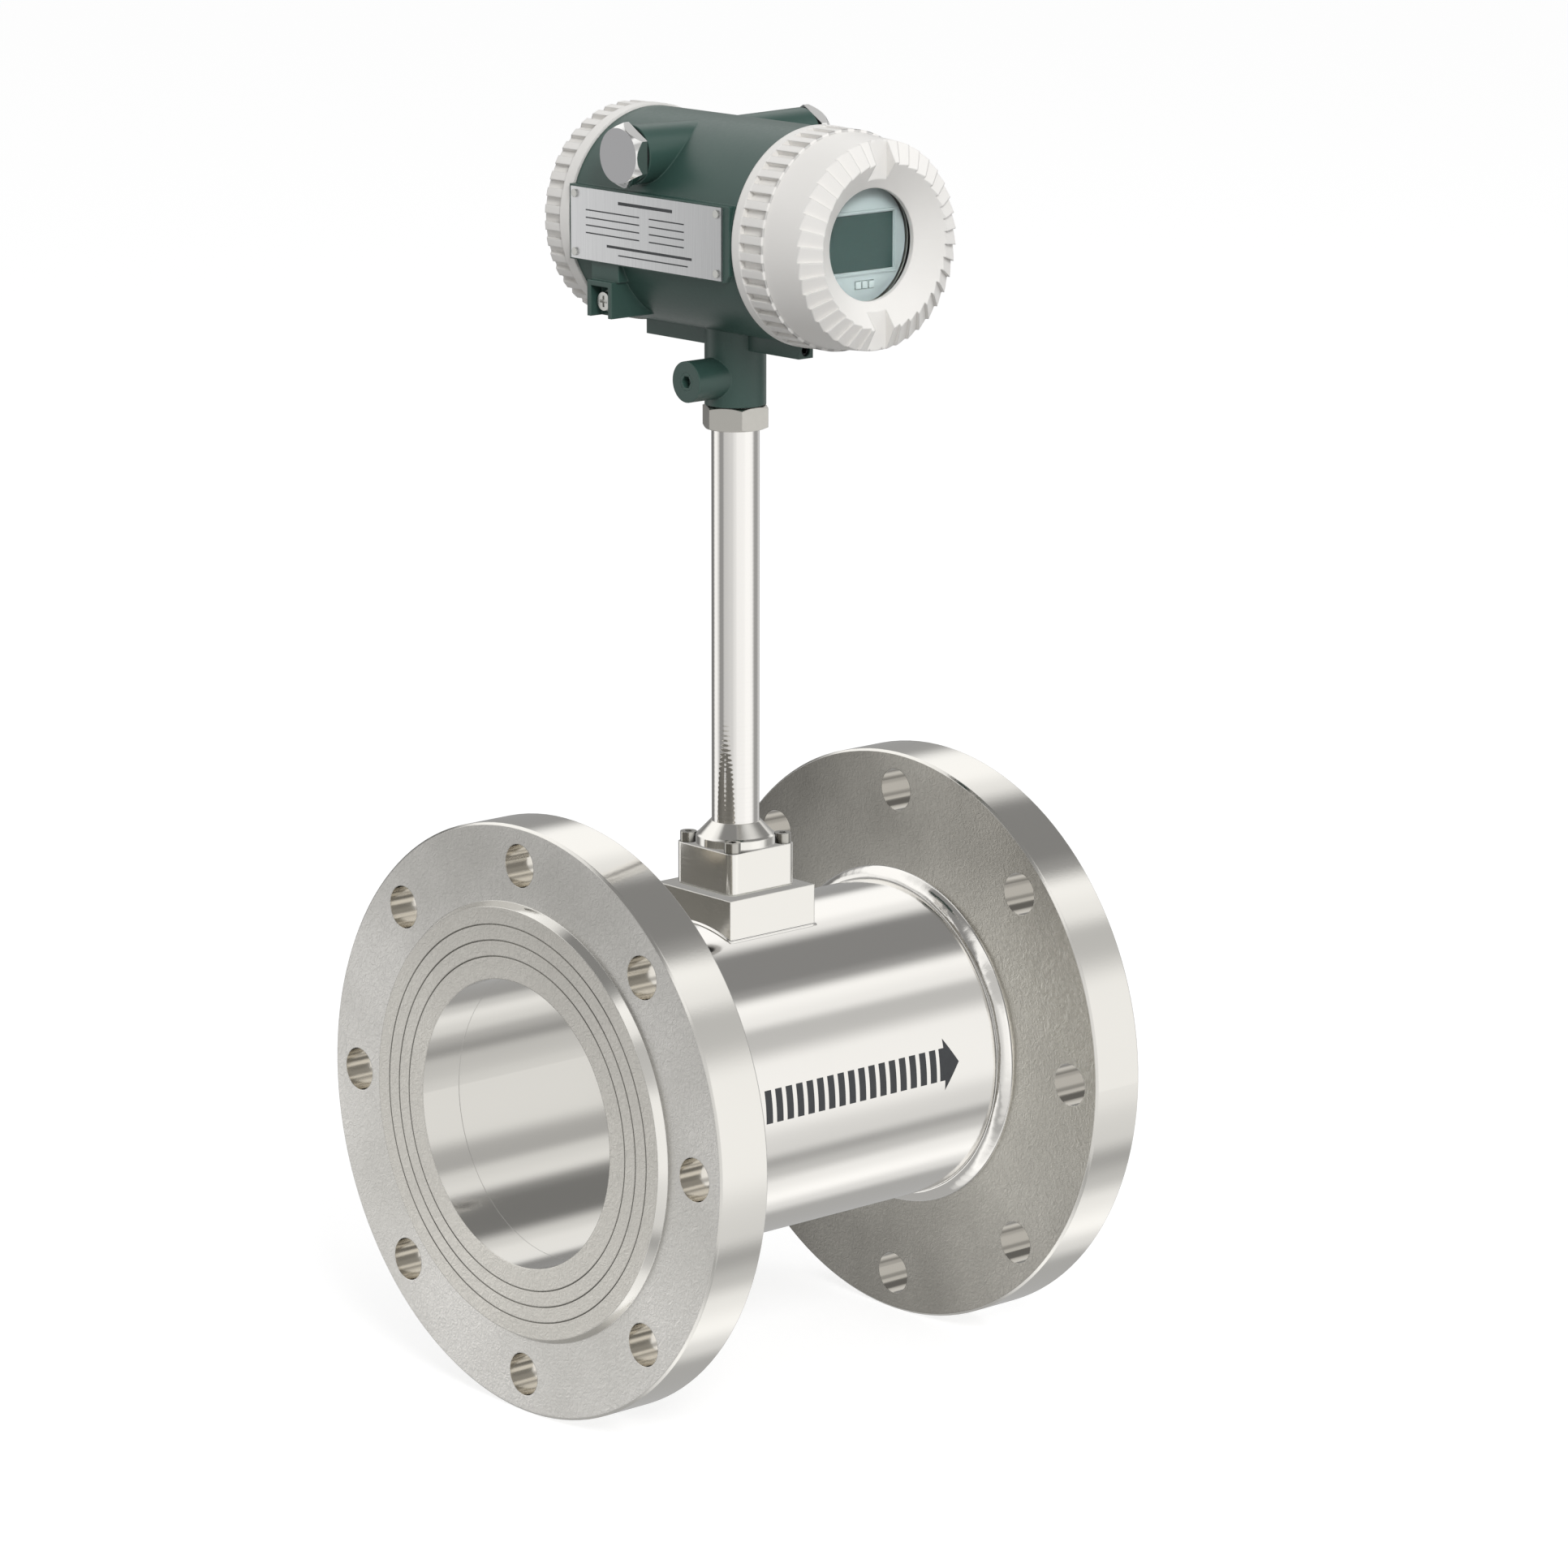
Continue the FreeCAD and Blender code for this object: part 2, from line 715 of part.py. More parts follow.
# Head housing: a solid casting first, then both chambers and the holes are cut out of it
housing = new_body("head_housing", stem_x, 0, s.head_height)
casting = new_sketch(housing, "XY")
thread_front = s.barrel_front + s.thread_length
thread_rear = s.barrel_rear + s.thread_length
polygon(casting, [
    (0, -thread_front),
    (s.thread_radius, -thread_front),
    (s.thread_radius, -s.barrel_front),
    (s.barrel_radius, -s.barrel_front),
    (s.barrel_radius, s.barrel_rear),
    (s.thread_radius, s.barrel_rear),
    (s.thread_radius, thread_rear),
    (0, thread_rear),
])
revolve(housing, casting, "V_Axis")
neck_drop = s.head_height - neck_bottom
neck = new_sketch(housing, "XY", -neck_drop)
circle(neck, 0, 0, s.neck_radius)
pad(housing, neck, neck_drop - s.neck_reach)
rib = new_sketch(housing, "XY", -s.rib_bottom)
rectangle(rib, -s.rib_width / 2, s.rib_width / 2, -s.rib_front, s.rib_rear)
pad(housing, rib, s.rib_bottom - s.neck_reach)
for side in (-1, 1):
    # conduit boss, slightly tapered as cast
    boss = new_sketch(housing, "YZ", s.conduit_face * side)
    circle(boss, s.conduit_rear, s.conduit_height, s.conduit_boss_radius)
    boss_pad = pad(housing, boss, s.conduit_face, against=side > 0)
    bind(boss_pad, "TaperAngle", -s.conduit_draft)
plate_pad = new_sketch(housing, "YZ", -s.plate_pad_face)
pad_half_height = s.plate_height / 2 + s.plate_pad_margin
polygon(plate_pad, [
    (-s.plate_pad_front + s.plate_pad_corner, -pad_half_height),
    (s.barrel_rear, -pad_half_height),
    (s.barrel_rear, pad_half_height),
    (-s.plate_pad_front, pad_half_height),
    (-s.plate_pad_front, -pad_half_height + s.plate_pad_corner),
])
pad(housing, plate_pad, s.plate_pad_face)
ground_boss = new_sketch(housing, "YZ", -s.ground_face)
rectangle(ground_boss, s.ground_front, s.ground_rear, -s.ground_bottom, -s.ground_top)
pad(housing, ground_boss, s.ground_face)
ground_web = new_sketch(housing, "YZ", -s.ground_web_face)
rectangle(ground_web, s.ground_web_front, s.ground_rear, -s.ground_top, -pad_half_height)
pad(housing, ground_web, s.ground_web_face)
lock_boss = new_sketch(housing, "YZ", -s.lock_boss_face)
circle(lock_boss, 0, -s.lock_boss_drop, s.lock_boss_radius)
pad(housing, lock_boss, s.lock_boss_face)

chambers = new_sketch(housing, "XY")
polygon(chambers, [
    (0, -thread_front),
    (s.mouth_radius, -thread_front),
    (s.mouth_radius, -s.barrel_front),
    (s.chamber_radius, -s.barrel_front + s.chamber_ramp),
    (s.chamber_radius, -s.partition_front),
    (0, -s.partition_front),
])
polygon(chambers, [
    (0, thread_rear),
    (s.mouth_radius, thread_rear),
    (s.mouth_radius, s.barrel_rear),
    (s.chamber_radius, s.barrel_rear - s.chamber_ramp),
    (s.chamber_radius, -s.partition_rear),
    (0, -s.partition_rear),
])
groove(housing, chambers, "V_Axis")
neck_bore = new_sketch(housing, "XY", -neck_drop)
circle(neck_bore, 0, 0, s.spigot_radius + s.spigot_play)
pocket(housing, neck_bore, spigot_top - neck_bottom + s.neck_gap)
lead_passage = new_sketch(housing, "XY", -neck_drop)
circle(lead_passage, 0, 0, s.lead_passage)
pocket(housing, lead_passage, neck_drop)
for side in (-1, 1):
    entry = new_sketch(housing, "YZ", s.conduit_face * side)
    circle(entry, s.conduit_rear, s.conduit_height, s.conduit_hole_radius)
    pocket(housing, entry, s.conduit_face, against=side > 0)
ground_recess = new_sketch(housing, "YZ", -s.ground_face)
rectangle(ground_recess, s.ground_front + s.ground_wall, s.ground_rear - s.ground_wall,
          -s.ground_bottom - s.ground_wall, -s.ground_top - s.ground_wall)
pocket(housing, ground_recess, s.ground_recess)
ground_y = (s.ground_front + s.ground_rear) / 2
ground_z = -(s.ground_bottom + s.ground_top) / 2 - s.ground_wall / 2
ground_seat = s.ground_face - s.ground_recess
ground_tap = new_sketch(housing, "YZ", -ground_seat)
circle(ground_tap, ground_y, ground_z, s.ground_screw_radius)
pocket(housing, ground_tap, s.ground_screw_length)
lock_tap = new_sketch(housing, "YZ", -s.lock_boss_face)
circle(lock_tap, 0, -s.lock_boss_drop, s.lock_screw_radius)
pocket(housing, lock_tap, s.lock_boss_face)
cover_tap = new_sketch(housing, "XZ", s.rib_front)
circle(cover_tap, 0, -s.cover_screw_drop, s.cover_screw_radius)
pocket(housing, cover_tap, s.cover_screw_hole_depth, against=True)
lead_hole = new_sketch(housing, "XZ", s.partition_front)
circle(lead_hole, 0, 0, s.bushing_radius + s.bushing_play)
pocket(housing, lead_hole, s.partition_front, against=True)
rivet_y = s.plate_length / 2 - s.rivet_inset
rivet_z = s.plate_height / 2 - s.rivet_inset
rivet_spots = [(s.plate_offset + rivet_y * a, rivet_z * b) for a in (-1, 1) for b in (-1, 1)]
rivet_holes = new_sketch(housing, "YZ", -s.plate_pad_face)
for y, z in rivet_spots:
    circle(rivet_holes, y, z, s.rivet_radius)
pocket(housing, rivet_holes, s.rivet_depth)
posts = new_sketch(housing, "XZ", s.partition_rear)
circle(posts, 0, s.post_spread, s.post_radius)
first_post = pad(housing, posts, s.post_length, against=True)
post_taps = new_sketch(housing, "XZ", s.partition_rear - s.post_length)
circle(post_taps, 0, s.post_spread, s.small_screw_radius)
first_tap = pocket(housing, post_taps, s.small_screw_length)
post_ring = polar(housing, first_post, "Y", s.post_count)
post_ring.Originals = [first_post, first_tap]


def set_screw(name, x, y, z, plane, radius, length, flats, socket_depth):
    """A headless screw with a hexagon socket. It runs along the plane's normal, socket at 0."""
    body = new_body(name, x, y, z)
    shank = new_sketch(body, plane)
    circle(shank, 0, 0, radius)
    into = plane == "YZ"
    pad(body, shank, length, against=not into)
    socket = new_sketch(body, plane)
    hexagon(socket, 0, 0, flats)
    pocket(body, socket, socket_depth, against=not into)


set_screw("neck_lock_screw", stem_x - s.lock_boss_face, 0, s.head_height - s.lock_boss_drop, "YZ",
          s.lock_screw_radius, s.lock_screw_length, s.lock_socket_flats, s.lock_socket_depth)
set_screw("cover_lock_screw", stem_x, -s.rib_front + s.cover_screw_inset,
          s.head_height - s.cover_screw_drop, "XZ", s.cover_screw_radius,
          s.cover_screw_hole_depth - s.cover_screw_inset, s.cover_screw_flats, s.cover_screw_socket)

# Front cover: a turned casting with a grip band, a knurled front edge and a dished window
front = new_body("front_cover", stem_x, 0, s.head_height)
rim_front = s.barrel_front + s.cover_gap
grip_front = rim_front + s.rim_width
grip_front_end = grip_front + s.grip_length
cover_bore = s.thread_radius + s.thread_play
bore_floor = rim_front + s.cover_bore_depth
crest = s.front_edge + (s.front_edge_radius - s.crest_radius) * tangent(s.knurl_slope)
glass_front = s.window_edge - s.window_lip
glass_back = glass_front - s.glass_thickness
grip_radius = s.rim_radius - s.grip_step
front_profile = new_sketch(front, "XY")
polygon(front_profile, [
    (cover_bore, -rim_front),
    (s.rim_radius, -rim_front),
    (s.rim_radius, -grip_front),
    (grip_radius, -grip_front - s.grip_step),
    (grip_radius, -grip_front_end),
    (s.band_radius, -grip_front_end - s.grip_step),
    (s.front_edge_radius, -s.front_edge),
    (s.crest_radius, -crest),
    (s.crest_radius - s.crest_width, -crest),
    (s.window_radius, -s.window_edge),
    (s.window_radius, -glass_front),
    (s.glass_radius + s.glass_play, -glass_front),
    (s.glass_radius + s.glass_play, -glass_back),
    (s.glass_ring_outer + s.glass_play, -glass_back),
    (s.glass_ring_outer + s.glass_play, -bore_floor),
    (cover_bore, -bore_floor),
])
revolve(front, front_profile, "V_Axis")


def grip_gaps(body, offset, length, against):
    """The gaps between the ribs of a cover's grip band, one cut repeated all round."""
    gap = new_sketch(body, "XZ", offset)
    rectangle(gap, grip_radius - s.grip_depth, grip_radius + s.grip_depth,
              -s.grip_gap_width / 2, s.grip_gap_width / 2)
    polar(body, pocket(body, gap, length, against=against), "Y", s.grip_count)


def tool_slots(body, offset, depth, against):
    """The two notches for a tool across a cover's face, above and below its centre."""
    slots = new_sketch(body, "XZ", offset)
    half = s.tool_slot_width / 2
    reach = s.rim_radius + s.rim_width
    rectangle(slots, -half, half, s.tool_slot_start, reach)
    rectangle(slots, -half, half, -reach, -s.tool_slot_start)
    pocket(body, slots, depth, against=against)


def seal_groove(body, offset, against):
    """The ring groove in a cover's rim that its seal lies in."""
    ring = new_sketch(body, "XZ", offset)
    circle(ring, 0, 0, s.seal_inner - s.seal_play)
    circle(ring, 0, 0, s.seal_outer + s.seal_play)
    pocket(body, ring, s.seal_height + s.seal_play - s.cover_gap + s.seal_play, against=against)


grip_gaps(front, grip_front, s.grip_length, False)
seal_groove(front, rim_front, False)
# saw-toothed knurl: one wedge cut square to the sloping edge, repeated all round
tooth = new_sketch(front, "XZ")
tooth.AttachmentOffset = FreeCAD.Placement(
    FreeCAD.Vector(0, 0, 0), FreeCAD.Rotation(FreeCAD.Vector(0, 1, 0), s.knurl_slope.value - 90)
)
slope_length = crest - s.front_edge
bind(tooth, "AttachmentOffset.Base.x", s.front_edge_radius + s.knurl_overrun)
bind(tooth, "AttachmentOffset.Base.z",
     s.front_edge - s.knurl_overrun * tangent(s.knurl_slope))
tooth_half = s.front_edge_radius * math.pi / s.grip_count
polygon(tooth, [
    (s.knurl_depth * 2, -tooth_half),
    (s.knurl_depth * 2, tooth_half),
    (-s.knurl_depth, tooth_half),
    (0, -tooth_half),
])
knurl_run = (s.front_edge_radius + s.knurl_overrun * 2 - s.crest_radius + slope_length)
polar(front, pocket(front, tooth, knurl_run), "Y", s.grip_count)
tool_slots(front, s.tool_slot_floor, s.front_edge, False)


def disc(name, x, y, z, plane, offset, radius, height):
    body = new_body(name, x, y, z)
    face = new_sketch(body, plane, offset)
    circle(face, 0, 0, radius)
    pad(body, face, height)
    return body


disc("window_glass", stem_x, 0, s.head_height, "XZ", glass_back, s.glass_radius, s.glass_thickness)

glass_ring_start = glass_back - s.glass_ring_width
glass_ring = washer("glass_ring", stem_x, 0, s.head_height, "XZ", glass_ring_start,
                    s.glass_ring_inner, s.glass_ring_outer, s.glass_ring_width)
ring_slots = new_sketch(glass_ring, "XZ", glass_ring_start)
slot_half = s.ring_slot_width / 2
rectangle(ring_slots, s.glass_ring_inner - s.ring_slot_width, s.glass_ring_outer + s.ring_slot_width,
          -slot_half, slot_half)
rectangle(ring_slots, -s.glass_ring_outer - s.ring_slot_width, -s.glass_ring_inner + s.ring_slot_width,
          -slot_half, slot_half)
pocket(glass_ring, ring_slots, s.ring_slot_depth)

washer("front_cover_seal", stem_x, 0, s.head_height, "XZ", s.barrel_front + s.seal_play,
       s.seal_inner, s.seal_outer, s.seal_height)

# Rear cover: the same thread, seal and grip band, closed by a plain back
rear = new_body("rear_cover", stem_x, 0, s.head_height)
rear_rim = s.barrel_rear + s.cover_gap
rear_grip = rear_rim + s.rear_rim_width
rear_grip_end = rear_grip + s.rear_grip_length
rear_floor = s.rear_back - s.rear_wall
rear_bore_floor = rear_rim + s.cover_bore_depth
rear_profile = new_sketch(rear, "XY")
polygon(rear_profile, [
    (0, rear_floor),
    (s.rear_hollow_radius, rear_floor),
    (s.rear_hollow_radius, rear_bore_floor),
    (cover_bore, rear_bore_floor),
    (cover_bore, rear_rim),
    (s.rim_radius, rear_rim),
    (s.rim_radius, rear_grip),
    (grip_radius, rear_grip + s.grip_step),
    (grip_radius, rear_grip_end),
    (s.rear_back_radius, s.rear_back),
    (0, s.rear_back),
])
revolve(rear, rear_profile, "V_Axis")
grip_gaps(rear, -rear_grip, s.rear_grip_length + s.rear_grip_runout, True)
seal_groove(rear, -rear_rim, True)
tool_slots(rear, -s.rear_slot_floor, s.rear_back, True)

washer("rear_cover_seal", stem_x, 0, s.head_height, "XZ",
       -s.barrel_rear - s.seal_play - s.seal_height, s.seal_inner, s.seal_outer, s.seal_height)

# Lead bushing in the partition, with its flange on the terminal side
bushing = new_body("lead_bushing", stem_x, 0, s.head_height)
bushing_profile = new_sketch(bushing, "XY")
polygon(bushing_profile, [
    (s.bushing_bore, -s.partition_front),
    (s.bushing_radius, -s.partition_front),
    (s.bushing_radius, -s.partition_rear),
    (s.bushing_flange_radius, -s.partition_rear),
    (s.bushing_flange_radius, -s.partition_rear + s.bushing_flange),
    (s.bushing_bore, -s.partition_rear + s.bushing_flange),
])
revolve(bushing, bushing_profile, "V_Axis")

# Front chamber: sealed module, spacers, display board and panel, then the bezel and its keys
module_front = s.partition_front + s.module_length
board_back = module_front + s.spacer_length
board_front = board_back + s.board_thickness
disc("electronics_module", stem_x, 0, s.head_height, "XZ", s.partition_front, s.module_radius,
     s.module_length)


def at_four_corners(sketch, x, z, radius):
    for a in (-1, 1):
        for b in (-1, 1):
            circle(sketch, x * a, z * b, radius)


spacers = new_body("board_spacers", stem_x, 0, s.head_height)
spacer_rings = new_sketch(spacers, "XZ", module_front)
at_four_corners(spacer_rings, s.spacer_x, s.spacer_z, s.spacer_radius)
at_four_corners(spacer_rings, s.spacer_x, s.spacer_z, s.small_screw_radius)
pad(spacers, spacer_rings, s.spacer_length)

board = disc("display_board", stem_x, 0, s.head_height, "XZ", board_back, s.display_board_radius,
             s.board_thickness)
board_holes = new_sketch(board, "XZ", board_back)
at_four_corners(board_holes, s.spacer_x, s.spacer_z, s.small_screw_radius + s.small_hole_play)
pocket(board, board_holes, s.board_thickness, against=False)

display_screws = new_body("display_screws", stem_x, 0, s.head_height)
screw_heads = new_sketch(display_screws, "XZ", board_front)
at_four_corners(screw_heads, s.spacer_x, s.spacer_z, s.small_head_radius)
pad(display_screws, screw_heads, s.small_head_height)
screw_shanks = new_sketch(display_screws, "XZ", board_front)
at_four_corners(screw_shanks, s.spacer_x, s.spacer_z, s.small_screw_radius)
pad(display_screws, screw_shanks, s.small_screw_length, against=True)

panel = new_body("lcd_panel", stem_x, 0, s.head_height)
bezel_back = s.bezel_face - s.bezel_plate
panel_half_x = s.panel_width / 2
panel_half_z = s.panel_height / 2
panel_case = new_sketch(panel, "XZ", board_front)
rectangle(panel_case, -panel_half_x - s.panel_step, panel_half_x + s.panel_step,
          -panel_half_z - s.panel_step, panel_half_z + s.panel_step)
pad(panel, panel_case, bezel_back - board_front)
panel_glass = new_sketch(panel, "XZ", bezel_back)
rectangle(panel_glass, -panel_half_x + s.panel_play, panel_half_x - s.panel_play,
          -panel_half_z + s.panel_play, panel_half_z - s.panel_play)
pad(panel, panel_glass, s.bezel_plate - s.panel_inset)

bezel = disc("display_bezel", stem_x, 0, s.head_height, "XZ", bezel_back, s.bezel_radius,
             s.bezel_plate)
skirt = new_sketch(bezel, "XZ", board_front)
circle(skirt, 0, 0, s.bezel_radius)
circle(skirt, 0, 0, s.bezel_radius - s.bezel_wall)
pad(bezel, skirt, bezel_back - board_front)
raised_frame = new_sketch(bezel, "XZ", s.bezel_face)
frame_x = panel_half_x + s.frame_margin
frame_z = panel_half_z + s.frame_margin
rectangle(raised_frame, -frame_x, frame_x, -frame_z, frame_z)
rectangle(raised_frame, -frame_x + s.frame_line, frame_x - s.frame_line,
          -frame_z + s.frame_line, frame_z - s.frame_line)
pad(bezel, raised_frame, s.frame_rise)
bezel_window = new_sketch(bezel, "XZ", bezel_back)
rectangle(bezel_window, -panel_half_x, panel_half_x, -panel_half_z, panel_half_z)
pocket(bezel, bezel_window, s.bezel_plate)

# The keys differ only in their place along the row
key_half_x = s.key_width / 2
key_half_z = s.key_height / 2
key_holes = new_sketch(bezel, "XZ", bezel_back)
for step, name in ((-1, "key_left"), (0, "key_middle"), (1, "key_right")):
    key_x = s.key_row_offset + s.key_pitch * step
    rectangle(key_holes, key_x - key_half_x - s.key_play, key_x + key_half_x + s.key_play,
              -s.key_row_drop - key_half_z - s.key_play, -s.key_row_drop + key_half_z + s.key_play)
    key = new_body(name, stem_x + key_x, 0, s.head_height - s.key_row_drop)
    key_cap = new_sketch(key, "XZ", board_front + s.key_clear)
    rectangle(key_cap, -key_half_x, key_half_x, -key_half_z, key_half_z)
    pad(key, key_cap, s.bezel_face + s.key_rise - board_front - s.key_clear)
    key_stop = new_sketch(key, "XZ", bezel_back - s.key_stop_gap - s.key_stop)
    rectangle(key_stop, -key_half_x, key_half_x, -key_half_z - s.key_stop, key_half_z + s.key_stop)
    pad(key, key_stop, s.key_stop)
pocket(bezel, key_holes, s.bezel_plate)

# Rear chamber: terminal board on its posts, the block of six terminals, and their screws
posts_end = s.post_length - s.partition_rear
board_top = posts_end + s.board_thickness
terminal_board = disc("terminal_board", stem_x, 0, s.head_height, "XZ", -board_top,
                      s.terminal_board_radius, s.board_thickness)
post_hole = new_sketch(terminal_board, "XZ", -board_top)
circle(post_hole, 0, s.post_spread, s.small_screw_radius + s.small_hole_play)
polar(terminal_board, pocket(terminal_board, post_hole, s.board_thickness), "Y", s.post_count)

board_screws = new_body("board_screws", stem_x, 0, s.head_height)
board_screw_head = new_sketch(board_screws, "XZ", -board_top)
circle(board_screw_head, 0, s.post_spread, s.small_head_radius)
board_head = pad(board_screws, board_screw_head, s.small_head_height, against=True)
board_screw_shank = new_sketch(board_screws, "XZ", -board_top)
circle(board_screw_shank, 0, s.post_spread, s.small_screw_radius)
board_shank = pad(board_screws, board_screw_shank, s.small_screw_length)
board_screw_ring = polar(board_screws, board_head, "Y", s.post_count)
board_screw_ring.Originals = [board_head, board_shank]

block = new_body("terminal_block", stem_x, 0, s.head_height)
block_plan = new_sketch(block, "XZ", -board_top)
block_half_x = s.block_width / 2
block_half_z = s.block_height / 2
rectangle(block_plan, -block_half_x, block_half_x, -block_half_z, block_half_z)
pad(block, block_plan, s.block_depth, against=True)
block_top = board_top + s.block_depth
slot_floor = block_top - s.terminal_slot_depth
terminal_slots = new_sketch(block, "XZ", -block_top)
terminal_half = s.terminal_slot_width / 2
terminal_places = [s.terminal_pitch * (i - 2.5) for i in range(6)]
for place in terminal_places:
    rectangle(terminal_slots, place - terminal_half, place + terminal_half,
              -s.block_height, terminal_half)
pocket(block, terminal_slots, s.terminal_slot_depth)
terminal_taps = new_sketch(block, "XZ", -slot_floor)
for place in terminal_places:
    circle(terminal_taps, place, 0, s.terminal_screw_radius)
pocket(block, terminal_taps, s.terminal_screw_length)

terminals = new_body("terminal_screws", stem_x, 0, s.head_height)
terminal_heads = new_sketch(terminals, "XZ", -slot_floor)
terminal_shanks = new_sketch(terminals, "XZ", -slot_floor)
terminal_drives = new_sketch(terminals, "XZ", -slot_floor - s.terminal_head_height)
for place in terminal_places:
    circle(terminal_heads, place, 0, s.terminal_head_radius)
    circle(terminal_shanks, place, 0, s.terminal_screw_radius)
    rectangle(terminal_drives, place - s.drive_length / 2, place + s.drive_length / 2,
              -s.drive_width / 2, s.drive_width / 2)
pad(terminals, terminal_heads, s.terminal_head_height, against=True)
pad(terminals, terminal_shanks, s.terminal_screw_length)
pocket(terminals, terminal_drives, s.drive_depth)


# Conduit plugs: the same plug twice, mirrored, each with a hexagon head and a thin seal
def conduit_plug(name, side):
    body = new_body(name, stem_x + s.conduit_face * side, s.conduit_rear, conduit_drop)
    shank = new_sketch(body, "YZ")
    circle(shank, 0, 0, s.conduit_hole_radius - s.plug_play)
    outward = side < 0
    pad(body, shank, s.plug_washer, against=outward)
    neck_face = new_sketch(body, "YZ")
    circle(neck_face, 0, 0, s.conduit_hole_radius - s.plug_play)
    pad(body, neck_face, s.plug_shank_length, against=not outward)
    head = new_sketch(body, "YZ", s.plug_washer * side)
    hexagon(head, 0, 0, s.plug_hex_flats, 90)
    pad(body, head, s.plug_hex_length, against=outward)
    bevel = new_sketch(body, "XY")
    plug_end = (s.plug_washer + s.plug_hex_length) * side
    corner = s.plug_hex_flats / math.sqrt(3)
    polygon(bevel, [
        (plug_end, s.plug_face_radius),
        (plug_end - (corner * 1.1 - s.plug_face_radius) * side * s.plug_bevel_slope, corner * 1.1),
        (plug_end, corner * 1.1),
    ])
    groove(body, bevel, "H_Axis")


conduit_plug("conduit_plug_left", -1)
conduit_plug("conduit_plug_right", 1)

plug_seals = new_body("plug_seals", stem_x, s.conduit_rear, conduit_drop)
for side in (-1, 1):
    seal_face = new_sketch(plug_seals, "YZ", s.conduit_face * side)
    circle(seal_face, 0, 0, s.conduit_hole_radius)
    circle(seal_face, 0, 0, s.plug_seal_radius)
    pad(plug_seals, seal_face, s.plug_washer, against=side < 0)

# Name plate on its pad, four rivets, and the ground screw in its boss
plate = new_body("name_plate", stem_x - s.plate_pad_face, s.plate_offset, s.head_height)
plate_plan = new_sketch(plate, "YZ")
plate_half_y = s.plate_length / 2
plate_half_z = s.plate_height / 2
rectangle(plate_plan, -plate_half_y, plate_half_y, -plate_half_z, plate_half_z)
pad(plate, plate_plan, s.plate_thickness, against=True)
plate_holes = new_sketch(plate, "YZ")
at_four_corners(plate_holes, rivet_y, rivet_z, s.rivet_radius)
pocket(plate, plate_holes, s.plate_thickness, against=True)

rivets = new_body("plate_rivets", stem_x - s.plate_pad_face, s.plate_offset, s.head_height)
rivet_heads = new_sketch(rivets, "YZ", -s.plate_thickness)
at_four_corners(rivet_heads, rivet_y, rivet_z, s.rivet_head_radius)
pad(rivets, rivet_heads, s.rivet_head, against=True)
rivet_shanks = new_sketch(rivets, "YZ", -s.plate_thickness)
at_four_corners(rivet_shanks, rivet_y, rivet_z, s.rivet_radius)
pad(rivets, rivet_shanks, s.plate_thickness + s.rivet_depth)

washer("ground_washer", stem_x - ground_seat - s.ground_washer_thickness, ground_y,
       s.head_height + ground_z, "YZ", 0, s.ground_screw_radius, s.ground_washer_radius,
       s.ground_washer_thickness)

ground_screw = new_body("ground_screw", stem_x - ground_seat - s.ground_washer_thickness, ground_y,
                        s.head_height + ground_z)
ground_head = new_sketch(ground_screw, "YZ")
circle(ground_head, 0, 0, s.ground_head_radius)
pad(ground_screw, ground_head, s.ground_head_height, against=True)
ground_shank = new_sketch(ground_screw, "YZ")
circle(ground_shank, 0, 0, s.ground_screw_radius)
pad(ground_screw, ground_shank, s.ground_screw_length)
cross_half = s.drive_width / 2
for wide, high in ((s.drive_length / 2, cross_half), (cross_half, s.drive_length / 2)):
    drive = new_sketch(ground_screw, "YZ", -s.ground_head_height)
    rectangle(drive, -wide, wide, -high, high)
    pocket(ground_screw, drive, s.drive_depth)

# Make everything, check it, and write one file for each sub-part
doc.recompute()
problems = []
for thing in doc.Objects:
    if "Invalid" in thing.State or "Error" in thing.State:
        problems.append(f"{thing.Label}: {thing.State}")
    if thing.TypeId in ("PartDesign::Pocket", "PartDesign::Groove"):
        before = thing.BaseFeature.Shape.Volume
        if before - thing.Shape.Volume < CUT_LEAST:
            problems.append(f"{thing.Label} cut nothing")
for name, body in parts.items():
    if body.Shape.isNull() or not body.Shape.isValid():
        problems.append(f"{name} has no valid shape")
if problems:
    raise RuntimeError("; ".join(problems))

os.makedirs("parts", exist_ok=True)
for name, body in parts.items():
    body.Shape.exportStep(f"parts/{body.Label}.step")
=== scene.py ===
import math

import bmesh
import bpy
from mathutils import Matrix, Vector


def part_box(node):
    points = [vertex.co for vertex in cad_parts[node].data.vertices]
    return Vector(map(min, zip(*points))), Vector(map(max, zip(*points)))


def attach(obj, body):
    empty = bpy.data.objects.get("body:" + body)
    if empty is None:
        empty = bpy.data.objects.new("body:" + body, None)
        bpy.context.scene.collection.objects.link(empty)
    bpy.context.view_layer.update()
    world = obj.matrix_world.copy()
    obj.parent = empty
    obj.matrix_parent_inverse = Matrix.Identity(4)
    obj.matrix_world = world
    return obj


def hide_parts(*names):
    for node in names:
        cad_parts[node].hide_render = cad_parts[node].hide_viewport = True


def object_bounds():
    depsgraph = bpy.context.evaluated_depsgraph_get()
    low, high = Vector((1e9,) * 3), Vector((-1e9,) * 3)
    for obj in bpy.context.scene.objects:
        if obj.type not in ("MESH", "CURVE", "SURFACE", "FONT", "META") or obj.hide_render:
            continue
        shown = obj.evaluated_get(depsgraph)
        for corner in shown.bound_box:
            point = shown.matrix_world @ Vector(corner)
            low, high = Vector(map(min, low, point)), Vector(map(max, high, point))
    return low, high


# Vortex flow meter in a plain white studio. The CAD nodes carry the shapes, and each section
# below dresses one piece or group of like pieces. Metres, in the frame's own axes.

